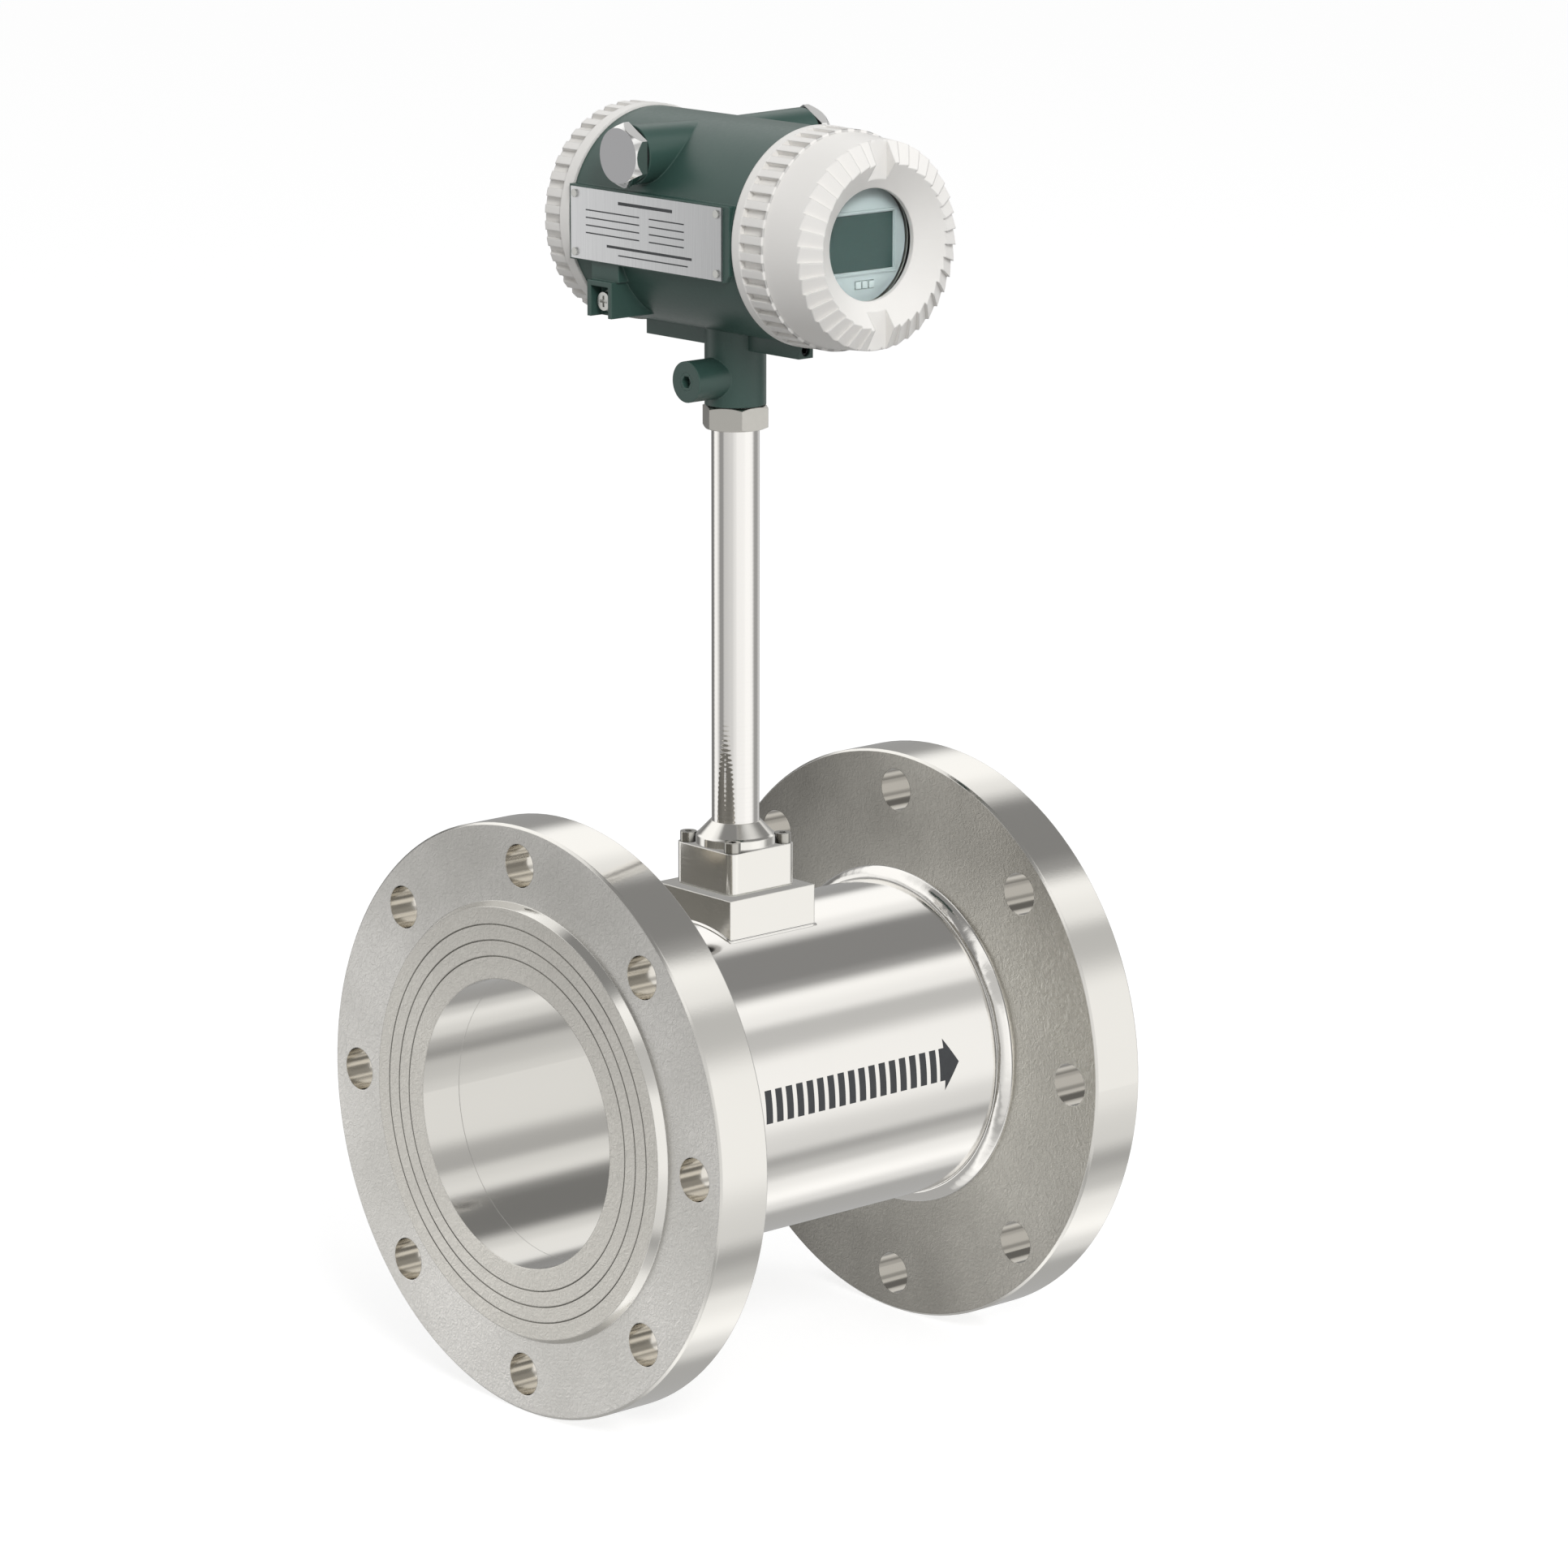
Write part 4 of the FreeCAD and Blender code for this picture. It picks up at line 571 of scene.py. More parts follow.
def weld_ring(name, node, towards):
    """A bead round the tube. Its flat leg is on the flange and it runs out towards +X or -X."""
    low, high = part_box(node)
    leg = high.x - low.x
    tube = high.z - leg
    root = low.x if towards > 0 else high.x
    shape = bmesh.new()
    corner = shape.verts.new((root, 0, tube))
    arc = []
    for step in range(BEAD_ARC_STEPS + 1):
        angle = math.radians(90 * step / BEAD_ARC_STEPS)
        arc.append(shape.verts.new((
            root + towards * leg * math.sin(angle), 0, tube + leg * math.cos(angle)
        )))
    outline = [corner] + arc
    edges = [shape.edges.new((a, b)) for a, b in zip(outline, outline[1:] + outline[:1])]
    bmesh.ops.spin(shape, geom=outline + edges, axis=(1, 0, 0), cent=(0, 0, 0),
                   angle=math.tau, steps=BEAD_STEPS, use_merge=True)
    bmesh.ops.remove_doubles(shape, verts=shape.verts, dist=1e-6)
    for vert in shape.verts:
        round_it = math.atan2(vert.co.z, vert.co.y)
        out = math.hypot(vert.co.y, vert.co.z)
        share = ((out - tube) / leg) * (abs(vert.co.x - root) / leg) * 2
        rise = RIPPLE_SHARE * math.sin(RIPPLES * round_it + DRIFT * math.sin(DRIFTS * round_it))
        rise += LUMP_SHARE * math.sin(LUMPS * round_it + LUMP_SHIFT)
        rise += SWELL_SHARE * math.sin(SWELLS * round_it)
        top = RIPPLE_SHARE + LUMP_SHARE + SWELL_SHARE
        sink = BEAD_RIPPLE * share * max(0, top - rise) / 2
        vert.co.y -= math.cos(round_it) * sink
        vert.co.z -= math.sin(round_it) * sink
        vert.co.x -= towards * sink
    bmesh.ops.recalc_face_normals(shape, faces=shape.faces)
    bead = new_piece(name, shape, bead_metal, "meter")
    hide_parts(node)


weld_ring("inlet_bead", "inlet_weld", 1)
weld_ring("outlet_bead", "outlet_weld", -1)


# Flow mark: stencilled in dark ink on the tube's display side. A striped shaft and an arrowhead
# show the way the fluid goes.
TUBE_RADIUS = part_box("meter_tube")[1].z
INK_RISE = 0.04 * MM
STRIPE_FIRST = 65.4 * MM
STRIPE_LAST = 141.9 * MM
STRIPE_COUNT = 17
STRIPE_WIDTH = 3.0 * MM
STRIPE_LOW = 0.0
STRIPE_HIGH = 11.6 * MM
HEAD_NECK = 144.9 * MM
HEAD_BACK = 147.3 * MM
HEAD_TIP = 154.0 * MM
HEAD_LOW = -3.6 * MM
HEAD_HIGH = 15.0 * MM
SLICE = 1.2 * MM

ink, tree, shader, place = finish_of("stencil_ink", Roughness=0.42)
worn = add(tree, "ShaderNodeTexNoise", {"Vector": place, "Scale": 1 / (3 * MM), "Detail": 4.0})
shade = add(tree, "ShaderNodeMix", {
    "Factor": worn.outputs["Fac"], 6: colour("#2c2e31"), 7: colour("#3a3d40"),
}, data_type="RGBA")
tree.links.new(shade.outputs[2], shader.inputs["Base Color"])

mark = bmesh.new()


def flat_shape(shape, corners):
    """One flat outline, drawn as x along the pipe and y up round it."""
    shape.faces.new([shape.verts.new((x, y, 0)) for x, y in corners])


for stripe in range(STRIPE_COUNT):
    middle = STRIPE_FIRST + (STRIPE_LAST - STRIPE_FIRST) * stripe / (STRIPE_COUNT - 1)
    left, right = middle - STRIPE_WIDTH / 2, middle + STRIPE_WIDTH / 2
    flat_shape(mark, [
        (left, STRIPE_LOW), (right, STRIPE_LOW), (right, STRIPE_HIGH), (left, STRIPE_HIGH),
    ])
flat_shape(mark, [
    (HEAD_NECK, STRIPE_LOW), (HEAD_BACK, STRIPE_LOW), (HEAD_BACK, HEAD_LOW),
    (HEAD_TIP, (HEAD_LOW + HEAD_HIGH) / 2), (HEAD_BACK, HEAD_HIGH), (HEAD_BACK, STRIPE_HIGH),
    (HEAD_NECK, STRIPE_HIGH),
])
for cut in range(math.floor((HEAD_HIGH - HEAD_LOW) / SLICE)):
    bmesh.ops.bisect_plane(
        mark, geom=mark.verts[:] + mark.edges[:] + mark.faces[:], dist=1e-7,
        plane_co=(0, HEAD_LOW + SLICE * (cut + 1), 0), plane_no=(0, 1, 0),
    )
INK_RADIUS = TUBE_RADIUS + INK_RISE
for vert in mark.verts:
    angle = vert.co.y / TUBE_RADIUS
    vert.co = Vector((vert.co.x, -INK_RADIUS * math.cos(angle), INK_RADIUS * math.sin(angle)))
bmesh.ops.recalc_face_normals(mark, faces=mark.faces)
flow_mark = new_piece("flow_mark", mark, ink, "meter", smooth=False)
flow_mark.visible_glossy = False


# Sensor seat and bonnet: ground stainless blocks, wiped bright, with lightly broken edges. The
# stem's base on top of them is turned from the same bar.
LAY_WIDTH = 1.0 * MM
LAY_LENGTH = 11.1 * MM

block_metal, tree, shader, place = finish_of(
    "ground_stainless", Metallic=1.0, Base_Color=colour("#e9e7e2")
)
lay = add(tree, "ShaderNodeTexNoise", {
    "Vector": add(tree, "ShaderNodeMapping", {
        "Vector": place, "Scale": (1 / LAY_LENGTH, 1 / LAY_LENGTH, 1 / LAY_WIDTH),
    }).outputs[0], "Scale": 1.0, "Detail": 3.0,
})
gloss = add(tree, "ShaderNodeMapRange", {
    "Value": lay.outputs["Fac"], "To Min": 0.07, "To Max": 0.15,
})
tree.links.new(gloss.outputs["Result"], shader.inputs["Roughness"])
ground = add(tree, "ShaderNodeBump", {
    "Height": lay.outputs["Fac"], "Strength": 0.06, "Distance": 0.02 * MM,
    "Normal": add(tree, "ShaderNodeBevel", {"Radius": 0.5 * MM}, samples=4).outputs["Normal"],
})
tree.links.new(ground.outputs[0], shader.inputs["Normal"])
dress(block_metal, "sensor_seat", "sensor_bonnet", "stem_base")
keep_from_mirrors("sensor_seat", "sensor_bonnet", "sensor_gasket", "stem_base", "bonnet_screws")


# Seat weld: one thin bead of the same filler, where the sensor seat's foot meets the round of
# the tube.
SEAT_BEAD = 0.9 * MM
SEAT_LINE_CUTS = 24

seat_low, seat_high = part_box("sensor_seat")
foot = bmesh.new()
bmesh.ops.create_grid(foot, x_segments=1, y_segments=1, size=1)
bmesh.ops.delete(foot, geom=foot.faces[:], context="FACES_ONLY")
bmesh.ops.subdivide_edges(foot, edges=foot.edges[:], cuts=SEAT_LINE_CUTS)
loop = bpy.data.curves.new("seat_line", "CURVE")
loop.dimensions = "3D"
line = loop.splines.new("POLY")
ordered = sorted(foot.verts, key=lambda vert: math.atan2(vert.co.y, vert.co.x))
line.points.add(len(ordered) - 1)
for point, vert in zip(line.points, ordered):
    x = (seat_low.x + seat_high.x) / 2 + vert.co.x * (seat_high.x - seat_low.x) / 2
    y = vert.co.y * seat_high.y
    point.co = (x, y, math.sqrt(TUBE_RADIUS ** 2 - y ** 2), 1)
line.use_cyclic_u = True
foot.free()
loop.bevel_depth = SEAT_BEAD
loop.bevel_resolution = 3
line_object = bpy.data.objects.new("seat_line", loop)
bpy.context.scene.collection.objects.link(line_object)
bpy.context.view_layer.update()
bead_mesh = bpy.data.meshes.new_from_object(
    line_object.evaluated_get(bpy.context.evaluated_depsgraph_get())
)
bpy.data.objects.remove(line_object)
seat_bead_shape = bmesh.new()
seat_bead_shape.from_mesh(bead_mesh)
bmesh.ops.recalc_face_normals(seat_bead_shape, faces=seat_bead_shape.faces)
seat_bead = new_piece("seat_bead", seat_bead_shape, bead_metal, "meter")
seat_bead.visible_glossy = False


# Stem: polished stainless tube. Its grinding rings are finer than a pixel, so they are drawn
# 1.7 mm apart and uneven, to show as the faint cross lines of the real one.
STEM_RING_PITCH = 1.7 * MM
HAZE_WIDTH = 1.5 * MM
HAZE_LENGTH = 25 * MM

stem_metal, tree, shader, place = finish_of(
    "stem_stainless", Metallic=1.0, Base_Color=colour("#ebe9e6")
)
parts = add(tree, "ShaderNodeSeparateXYZ", {0: place})
ring_angle = add(tree, "ShaderNodeMath", {
    0: parts.outputs["Z"], 1: math.tau / STEM_RING_PITCH,
}, operation="MULTIPLY")
ring_wave = add(tree, "ShaderNodeMath", {0: ring_angle.outputs[0]}, operation="SINE")
haze = add(tree, "ShaderNodeTexNoise", {
    "Vector": add(tree, "ShaderNodeMapping", {
        "Vector": place, "Scale": (1 / HAZE_LENGTH, 1 / HAZE_LENGTH, 1 / HAZE_WIDTH),
    }).outputs[0], "Scale": 1.0, "Detail": 3.0,
})
gloss = add(tree, "ShaderNodeMapRange", {
    "Value": haze.outputs["Fac"], "To Min": 0.04, "To Max": 0.1,
})
tree.links.new(gloss.outputs["Result"], shader.inputs["Roughness"])
uneven_rings = add(tree, "ShaderNodeMath", {
    0: ring_wave.outputs[0], 1: haze.outputs["Fac"],
}, operation="MULTIPLY")
rings = add(tree, "ShaderNodeBump", {
    "Height": uneven_rings.outputs[0], "Strength": 0.5, "Distance": 0.03 * MM,
    "Normal": add(tree, "ShaderNodeBevel", {"Radius": 0.2 * MM}, samples=4).outputs["Normal"],
})
tree.links.new(rings.outputs[0], shader.inputs["Normal"])
dress(stem_metal, "stem_tube")


# Lock nut: hexagon bar stock, satin from the saw and the tumbler. The ring behind the window
# has the same finish.
nut_metal, tree, shader, place = finish_of(
    "satin_stainless", Metallic=1.0, Base_Color=colour("#c6c4be")
)
tumbled = add(tree, "ShaderNodeTexNoise", {
    "Vector": place, "Scale": 1 / (1.2 * MM), "Detail": 4.0,
})
gloss = add(tree, "ShaderNodeMapRange", {
    "Value": tumbled.outputs["Fac"], "To Min": 0.24, "To Max": 0.38,
})
tree.links.new(gloss.outputs["Result"], shader.inputs["Roughness"])
pits = add(tree, "ShaderNodeBump", {
    "Height": tumbled.outputs["Fac"], "Strength": 0.1, "Distance": 0.05 * MM,
    "Normal": add(tree, "ShaderNodeBevel", {"Radius": 0.4 * MM}, samples=4).outputs["Normal"],
})
tree.links.new(pits.outputs[0], shader.inputs["Normal"])
dress(nut_metal, "stem_nut", "glass_ring")


# Screws and rivets: zinc-plated steel, duller and a little bluer than the stainless round them.
# The bonnet's cap screws are stainless with painted shade, dark in their sockets and under their
# heads, and the front cover's lock screw is blackened steel.
SCREW_EDGE = 0.25 * MM
SHELTER_REACH = 3.0 * MM

plated, tree, shader, place = finish_of("zinc_plated_steel", Metallic=1.0)
patchy = add(tree, "ShaderNodeTexNoise", {"Vector": place, "Scale": 1 / (1.5 * MM), "Detail": 3.0})
shade = add(tree, "ShaderNodeMix", {
    "Factor": patchy.outputs["Fac"], 6: colour("#b9bab8"), 7: colour("#d2d2cd"),
}, data_type="RGBA")
tree.links.new(shade.outputs[2], shader.inputs["Base Color"])
gloss = add(tree, "ShaderNodeMapRange", {
    "Value": patchy.outputs["Fac"], "To Min": 0.2, "To Max": 0.4,
})
tree.links.new(gloss.outputs["Result"], shader.inputs["Roughness"])
rounded = add(tree, "ShaderNodeBevel", {"Radius": SCREW_EDGE}, samples=4)
tree.links.new(rounded.outputs["Normal"], shader.inputs["Normal"])
dress(plated, "display_screws", "board_screws", "terminal_screws", "plate_rivets",
      "ground_screw", "ground_washer")

cap_metal, tree, shader, place = finish_of("socket_shaded_stainless", Metallic=1.0, Roughness=0.16)
# Painted shade: the base colour turns near black where the screws are occluded.
sheltered = add(tree, "ShaderNodeAmbientOcclusion", {"Distance": SHELTER_REACH}, samples=8)
open_to_light = add(tree, "ShaderNodeMapRange", {
    "Value": sheltered.outputs["AO"], "From Min": 0.35, "From Max": 0.85,
})
shade = add(tree, "ShaderNodeMix", {
    "Factor": open_to_light.outputs["Result"], 6: colour("#2b2a27"), 7: colour("#b5b3ad"),
}, data_type="RGBA")
tree.links.new(shade.outputs[2], shader.inputs["Base Color"])
rounded = add(tree, "ShaderNodeBevel", {"Radius": SCREW_EDGE}, samples=4)
tree.links.new(rounded.outputs["Normal"], shader.inputs["Normal"])
dress(cap_metal, "bonnet_screws")

blackened, tree, shader, place = finish_of("blackened_steel", Metallic=1.0)
oily = add(tree, "ShaderNodeTexNoise", {"Vector": place, "Scale": 1 / (0.8 * MM), "Detail": 3.0})
shade = add(tree, "ShaderNodeMix", {
    "Factor": oily.outputs["Fac"], 6: colour("#1d1e1f"), 7: colour("#35373a"),
}, data_type="RGBA")
tree.links.new(shade.outputs[2], shader.inputs["Base Color"])
gloss = add(tree, "ShaderNodeMapRange", {
    "Value": oily.outputs["Fac"], "To Min": 0.3, "To Max": 0.5,
})
tree.links.new(gloss.outputs["Result"], shader.inputs["Roughness"])
dress(blackened, "cover_lock_screw")


# Conduit plugs: nickel-plated brass hexagons, bright on their flats and bevels, and satin on
# the end face.
nickel, tree, shader, place = finish_of("nickel_plate", Metallic=1.0)
facing = add(tree, "ShaderNodeSeparateXYZ", {0: place.node.outputs["Normal"]})
end_face = add(tree, "ShaderNodeMapRange", {
    "Value": add(tree, "ShaderNodeMath", {
        0: facing.outputs["X"],
    }, operation="ABSOLUTE").outputs[0],
    "From Min": 0.96, "From Max": 0.99,
}).outputs["Result"]
shade = add(tree, "ShaderNodeMix", {
    "Factor": end_face, 6: colour("#e9e9e8"), 7: colour("#a9a9ab"),
}, data_type="RGBA")
tree.links.new(shade.outputs[2], shader.inputs["Base Color"])
swirl = add(tree, "ShaderNodeTexNoise", {"Vector": place, "Scale": 1 / (2.5 * MM), "Detail": 3.0})
polish = add(tree, "ShaderNodeMapRange", {
    "Value": swirl.outputs["Fac"], "To Min": 0.04, "To Max": 0.1,
})
gloss = add(tree, "ShaderNodeMix", {"Factor": end_face, "A": polish.outputs["Result"], "B": 0.3})
tree.links.new(gloss.outputs[0], shader.inputs["Roughness"])
rounded = add(tree, "ShaderNodeBevel", {"Radius": 0.3 * MM}, samples=4)
tree.links.new(rounded.outputs["Normal"], shader.inputs["Normal"])
dress(nickel, "conduit_plug_left", "conduit_plug_right")


# Head housing: die-cast aluminium under baked green powder paint. The paint has a fine orange
# peel, a soft sheen, and thins a little to a lighter green on the edges.
PAINTED_EDGE = 0.7 * MM
CLOUD_SIZE = 24 * MM


def painted(name, deep, light, worn_edge, roughness, peel_size, peel_depth):
    """Baked powder paint on a casting."""
    paint, tree, shader, place = finish_of(name, Specular_IOR_Level=0.5)
    clouds = add(tree, "ShaderNodeTexNoise", {
        "Vector": place, "Scale": 1 / CLOUD_SIZE, "Detail": 3.0,
    })
    body_colour = add(tree, "ShaderNodeMix", {
        "Factor": clouds.outputs["Fac"], 6: colour(deep), 7: colour(light),
    }, data_type="RGBA")
    rounded = add(tree, "ShaderNodeBevel", {"Radius": PAINTED_EDGE}, samples=4)
    edge = add(tree, "ShaderNodeVectorMath", {
        0: rounded.outputs["Normal"], 1: add(tree, "ShaderNodeNewGeometry").outputs["Normal"],
    }, operation="DOT_PRODUCT")
    wear = add(tree, "ShaderNodeMapRange", {
        "Value": edge.outputs["Value"], "From Min": 0.98, "From Max": 0.85, "To Max": 0.5,
    })
    tone = add(tree, "ShaderNodeMix", {
        "Factor": wear.outputs["Result"], 6: body_colour.outputs[2], 7: colour(worn_edge),
    }, data_type="RGBA")
    tree.links.new(tone.outputs[2], shader.inputs["Base Color"])
    peel = add(tree, "ShaderNodeTexNoise", {
        "Vector": place, "Scale": 1 / peel_size, "Detail": 2.0,
    })
    gloss = add(tree, "ShaderNodeMapRange", {
        "Value": peel.outputs["Fac"], "To Min": roughness - 0.05, "To Max": roughness + 0.05,
    })
    tree.links.new(gloss.outputs["Result"], shader.inputs["Roughness"])
    skin = add(tree, "ShaderNodeBump", {
        "Height": peel.outputs["Fac"], "Strength": 0.35, "Distance": peel_depth,
        "Normal": rounded.outputs["Normal"],
    })
    tree.links.new(skin.outputs[0], shader.inputs["Normal"])
    return paint


green_paint = painted(
    "green_powder_paint", deep="#314b45", light="#39534c", worn_edge="#57746b",
    roughness=0.36, peel_size=1.3 * MM, peel_depth=0.05 * MM,
)
dress(green_paint, "head_housing", "neck_lock_screw")


# Cover threads: cut into the housing's two bare spigots, 2 mm pitch, where the covers screw on.
# The ridges are their own pieces, and show when a cover is off.
THREAD_PITCH = 2.0 * MM
THREAD_RISE = 0.2 * MM
THREAD_SUNK = 0.05 * MM
THREAD_HALF_WIDTH = THREAD_PITCH * 0.42
THREAD_START = THREAD_PITCH * 0.35
THREAD_TURNS = 4.2
STEPS_A_TURN = 72

bare, tree, shader, place = finish_of(
    "bare_cast_aluminium", Metallic=1.0, Base_Color=colour("#c3c4c4")
)
cut_marks = add(tree, "ShaderNodeTexNoise", {
    "Vector": place, "Scale": 1 / (1.0 * MM), "Detail": 3.0,
})
gloss = add(tree, "ShaderNodeMapRange", {
    "Value": cut_marks.outputs["Fac"], "To Min": 0.3, "To Max": 0.45,
})
tree.links.new(gloss.outputs["Result"], shader.inputs["Roughness"])

housing_low, housing_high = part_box("head_housing")
window_low, window_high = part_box("window_glass")
HEAD_AXIS = Vector((
    (housing_low.x + housing_high.x) / 2, 0, (window_low.z + window_high.z) / 2
))
SPIGOT_RADIUS = 32.5 * MM


def spigot_thread(name, end, inward):
    """A helical ridge on a spigot, from its end inwards."""
    start = end + inward * THREAD_START
    crest = start + inward * THREAD_HALF_WIDTH
    stop = crest + inward * THREAD_HALF_WIDTH
    base = HEAD_AXIS.z + SPIGOT_RADIUS - THREAD_SUNK
    shape = bmesh.new()
    outline = [
        shape.verts.new((HEAD_AXIS.x, start, base)),
        shape.verts.new((HEAD_AXIS.x, crest, base + THREAD_RISE + THREAD_SUNK)),
        shape.verts.new((HEAD_AXIS.x, stop, base)),
    ]
    face = shape.faces.new(outline)
    steps = round(STEPS_A_TURN * THREAD_TURNS)
    bmesh.ops.spin(
        shape, geom=outline + face.edges[:] + [face], axis=(0, 1, 0), cent=HEAD_AXIS,
        dvec=(0, inward * THREAD_PITCH / STEPS_A_TURN, 0), angle=math.tau * THREAD_TURNS,
        steps=steps,
    )
    bmesh.ops.remove_doubles(shape, verts=shape.verts, dist=1e-7)
    bmesh.ops.recalc_face_normals(shape, faces=shape.faces)
    thread = new_piece(name, shape, bare, "head", smooth=False)


spigot_thread("front_thread", housing_low.y, 1)
spigot_thread("rear_thread", housing_high.y, -1)


# Covers: the same casting alloy under warm white powder paint, ribbed for the hand. Each screws
# on over a spigot of the housing.
white_paint = painted(
    "white_powder_paint", deep="#e6e4e0", light="#edebe8", worn_edge="#f3f2ef",
    roughness=0.40, peel_size=1.5 * MM, peel_depth=0.04 * MM,
)
dress(white_paint, "front_cover", "rear_cover")


# Window: a disc of clear glass with a coating against reflections, held in the cover by a
# threaded ring. The low index stands for the coating, so that the display shows through dark.
COATED_INDEX = 1.2

glass, tree, shader, place = finish_of(
    "clear_glass", Base_Color=colour("#fbfdfc"), Transmission_Weight=1.0, IOR=COATED_INDEX
)
smear = add(tree, "ShaderNodeTexNoise", {"Vector": place, "Scale": 1 / (9 * MM), "Detail": 3.0})
gloss = add(tree, "ShaderNodeMapRange", {
    "Value": smear.outputs["Fac"], "From Min": 0.45, "From Max": 0.75,
    "To Min": 0.0, "To Max": 0.06,
})
tree.links.new(gloss.outputs["Result"], shader.inputs["Roughness"])
through = add(tree, "ShaderNodeMixShader", {
    0: add(tree, "ShaderNodeLightPath").outputs["Is Shadow Ray"], 1: shader.outputs[0],
    2: add(tree, "ShaderNodeBsdfTransparent").outputs[0],
})
tree.links.new(through.outputs[0], tree.nodes["Material Output"].inputs["Surface"])
dress(glass, "window_glass")


# Bezel: a moulded polycarbonate plate with a satin printed film, pale blue-grey.
bezel_film, tree, shader, place = finish_of("satin_polycarbonate", Roughness=0.5)
fleck = add(tree, "ShaderNodeTexNoise", {"Vector": place, "Scale": 1 / (0.7 * MM), "Detail": 2.0})
shade = add(tree, "ShaderNodeMix", {
    "Factor": fleck.outputs["Fac"], 6: colour("#99a5a6"), 7: colour("#a4afb0"),
}, data_type="RGBA")
tree.links.new(shade.outputs[2], shader.inputs["Base Color"])
film = add(tree, "ShaderNodeBump", {
    "Height": fleck.outputs["Fac"], "Strength": 0.15, "Distance": 0.02 * MM,
    "Normal": add(tree, "ShaderNodeBevel", {"Radius": 0.2 * MM}, samples=4).outputs["Normal"],
})
tree.links.new(film.outputs[0], shader.inputs["Normal"])
dress(bezel_film, "display_bezel")


# Display glass: a dark green-grey liquid crystal panel, off, with its faint grid of dots.
lcd_glass, tree, shader, place = finish_of("lcd_glass", Roughness=0.3, Specular_IOR_Level=0.3)
dots = add(tree, "ShaderNodeTexVoronoi", {
    "Vector": place, "Scale": 1 / (0.5 * MM), "Randomness": 0.0,
}, distance="CHEBYCHEV")
cell = add(tree, "ShaderNodeMapRange", {
    "Value": dots.outputs["Distance"], "From Min": 0.36, "From Max": 0.46,
})
shade = add(tree, "ShaderNodeMix", {
    "Factor": cell.outputs["Result"], 6: colour("#243a38"), 7: colour("#2c4441"),
}, data_type="RGBA")
tree.links.new(shade.outputs[2], shader.inputs["Base Color"])
dress(lcd_glass, "lcd_panel")


# Keys: three small buttons of grey silicone rubber in one row under the panel, moulded with
# softly rounded edges.
KEY_EDGE = 0.25 * MM

key_rubber, tree, shader, place = finish_of("silicone_rubber", Roughness=0.6)
dusty = add(tree, "ShaderNodeTexNoise", {"Vector": place, "Scale": 1 / (0.6 * MM), "Detail": 2.0})
shade = add(tree, "ShaderNodeMix", {
    "Factor": dusty.outputs["Fac"], 6: colour("#a8b3b3"), 7: colour("#b2bdbd"),
}, data_type="RGBA")
tree.links.new(shade.outputs[2], shader.inputs["Base Color"])
rounded = add(tree, "ShaderNodeBevel", {"Radius": KEY_EDGE}, samples=4)
tree.links.new(rounded.outputs["Normal"], shader.inputs["Normal"])
dress(key_rubber, "key_left", "key_middle", "key_right")


# Name plate: thin brushed aluminium, riveted at its corners, with painted shade that darkens it
# towards its front end, and with plain rules printed on it in the same ink as the flow mark.
STROKE_WIDTH = 0.5 * MM
STROKE_LENGTH = 20 * MM
STROKE_DEPTH = 33.3 * MM
PLATE_DULLED = 0.72
RULE_RISE = 0.03 * MM
FINE_RULE, FOOT_RULE, TITLE_RULE = 0.45 * MM, 0.9 * MM, 1.1 * MM
RULE_ROWS = [4.6 * MM, 2.0 * MM, -0.6 * MM, -3.2 * MM]

plate_low, plate_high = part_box("name_plate")
plate_metal, tree, shader, place = finish_of("brushed_aluminium", Metallic=1.0)
brushing = add(tree, "ShaderNodeTexNoise", {
    "Vector": add(tree, "ShaderNodeMapping", {
        "Vector": place, "Scale": (1 / STROKE_LENGTH, 1 / STROKE_WIDTH, 1 / STROKE_DEPTH),
    }).outputs[0], "Scale": 1.0, "Detail": 4.0, "Roughness": 0.7,
})
brushed = add(tree, "ShaderNodeMix", {
    "Factor": brushing.outputs["Fac"], 6: colour("#c9cacc"), 7: colour("#fafbfc"),
}, data_type="RGBA")
# Painted shade: the plate darkens towards its front end.
along = add(tree, "ShaderNodeMapRange", {
    "Value": add(tree, "ShaderNodeSeparateXYZ", {0: place}).outputs["Y"],
    "From Min": plate_low.y, "From Max": plate_high.y, "To Min": PLATE_DULLED, "To Max": 1.0,
})
shade = add(tree, "ShaderNodeMix", {
    "Factor": 1.0, 6: brushed.outputs[2], 7: along.outputs["Result"],
}, data_type="RGBA", blend_type="MULTIPLY")
tree.links.new(shade.outputs[2], shader.inputs["Base Color"])
gloss = add(tree, "ShaderNodeMapRange", {
    "Value": brushing.outputs["Fac"], "To Min": 0.32, "To Max": 0.5,
})
tree.links.new(gloss.outputs["Result"], shader.inputs["Roughness"])
strokes = add(tree, "ShaderNodeBump", {
    "Height": brushing.outputs["Fac"], "Strength": 0.2, "Distance": 0.03 * MM,
})
tree.links.new(strokes.outputs[0], shader.inputs["Normal"])
dress(plate_metal, "name_plate")

plate_y = (plate_low.y + plate_high.y) / 2
plate_z = (plate_low.z + plate_high.z) / 2
rules = bmesh.new()


def rule(y_from, y_to, z, thickness):
    """One printed line on the plate, placed from the plate's middle."""
    flat = [(plate_low.x - RULE_RISE, plate_y + y, plate_z + z + t)
            for y, t in ((y_from, 0), (y_to, 0), (y_to, thickness), (y_from, thickness))]
    rules.faces.new([rules.verts.new(spot) for spot in flat])


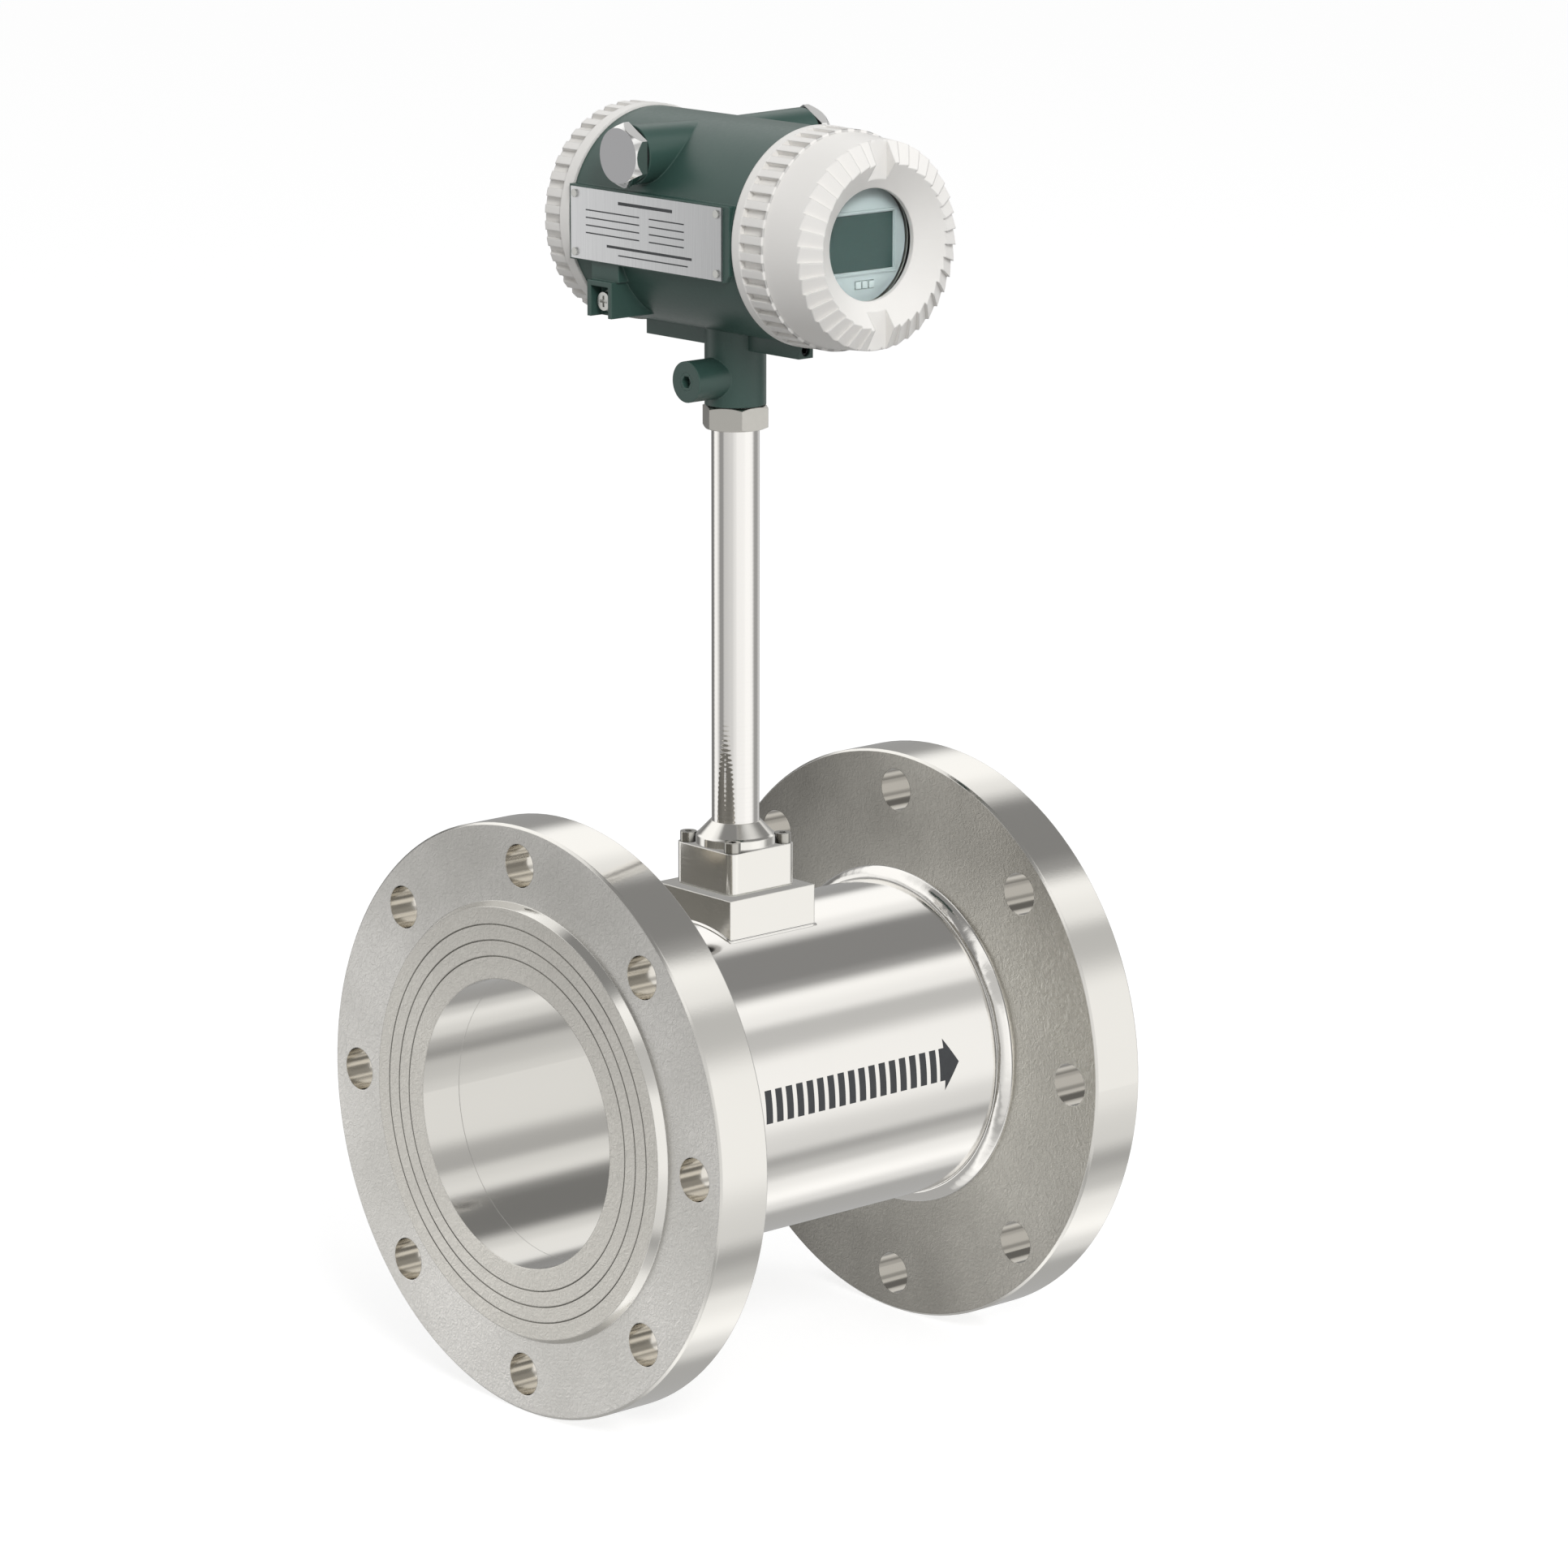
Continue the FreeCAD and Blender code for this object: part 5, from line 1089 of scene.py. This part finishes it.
rule(14 * MM, -14 * MM, 8.0 * MM, TITLE_RULE)
for row in RULE_ROWS:
    rule(31 * MM, 3 * MM, row, FINE_RULE)
    rule(-2 * MM, -20 * MM, row, FINE_RULE)
rule(20 * MM, -24 * MM, -7.0 * MM, FOOT_RULE)
rule(14 * MM, -22 * MM, -9.4 * MM, FINE_RULE)
bmesh.ops.recalc_face_normals(rules, faces=rules.faces)
for face in rules.faces:
    if face.normal.x > 0:
        face.normal_flip()
plate_rules = new_piece("plate_rules", rules, ink, "head", smooth=False)


# Rubber and sheet: seals of black nitrile rubber, and the pale fibre gasket under the bonnet.
def soft_material(name, dark, light, roughness, grain_size):
    """A matt material whose colour varies at the size of its grain."""
    material, tree, shader, place = finish_of(name, Roughness=roughness)
    grain = add(tree, "ShaderNodeTexNoise", {
        "Vector": place, "Scale": 1 / grain_size, "Detail": 3.0,
    })
    shade = add(tree, "ShaderNodeMix", {
        "Factor": grain.outputs["Fac"], 6: colour(dark), 7: colour(light),
    }, data_type="RGBA")
    tree.links.new(shade.outputs[2], shader.inputs["Base Color"])
    skin = add(tree, "ShaderNodeBump", {
        "Height": grain.outputs["Fac"], "Strength": 0.2, "Distance": 0.04 * MM,
    })
    tree.links.new(skin.outputs[0], shader.inputs["Normal"])
    return material


dress(soft_material("nitrile_rubber", "#141414", "#232323", 0.6, 0.8 * MM),
      "front_cover_seal", "rear_cover_seal", "plug_seals", "probe_seal")
dress(soft_material("fibre_sheet", "#bfbeb6", "#d1d0c8", 0.8, 0.6 * MM), "sensor_gasket")


# Electronics: the module sealed in filled resin, glass-fibre boards under green solder mask, the
# moulded nylon terminal block and bushing, the probe's sleeved lead, and turned brass spacers.
dress(soft_material("black_filled_resin", "#1b1c1e", "#26282b", 0.45, 1.4 * MM),
      "electronics_module")
dress(soft_material("green_solder_mask", "#1f4a35", "#27583f", 0.35, 1.0 * MM),
      "display_board", "terminal_board")
dress(soft_material("grey_glass_filled_nylon", "#3a3d40", "#4a4e52", 0.55, 0.8 * MM),
      "terminal_block", "lead_bushing")
dress(soft_material("white_lead_sleeve", "#c9c6bd", "#d8d5cc", 0.5, 0.9 * MM), "probe_lead")

brass, tree, shader, place = finish_of("turned_brass", Metallic=1.0, Base_Color=colour("#d6b36a"))
swarf = add(tree, "ShaderNodeTexNoise", {"Vector": place, "Scale": 1 / (0.9 * MM), "Detail": 3.0})
gloss = add(tree, "ShaderNodeMapRange", {
    "Value": swarf.outputs["Fac"], "To Min": 0.2, "To Max": 0.35,
})
tree.links.new(gloss.outputs["Result"], shader.inputs["Roughness"])
dress(brass, "board_spacers")
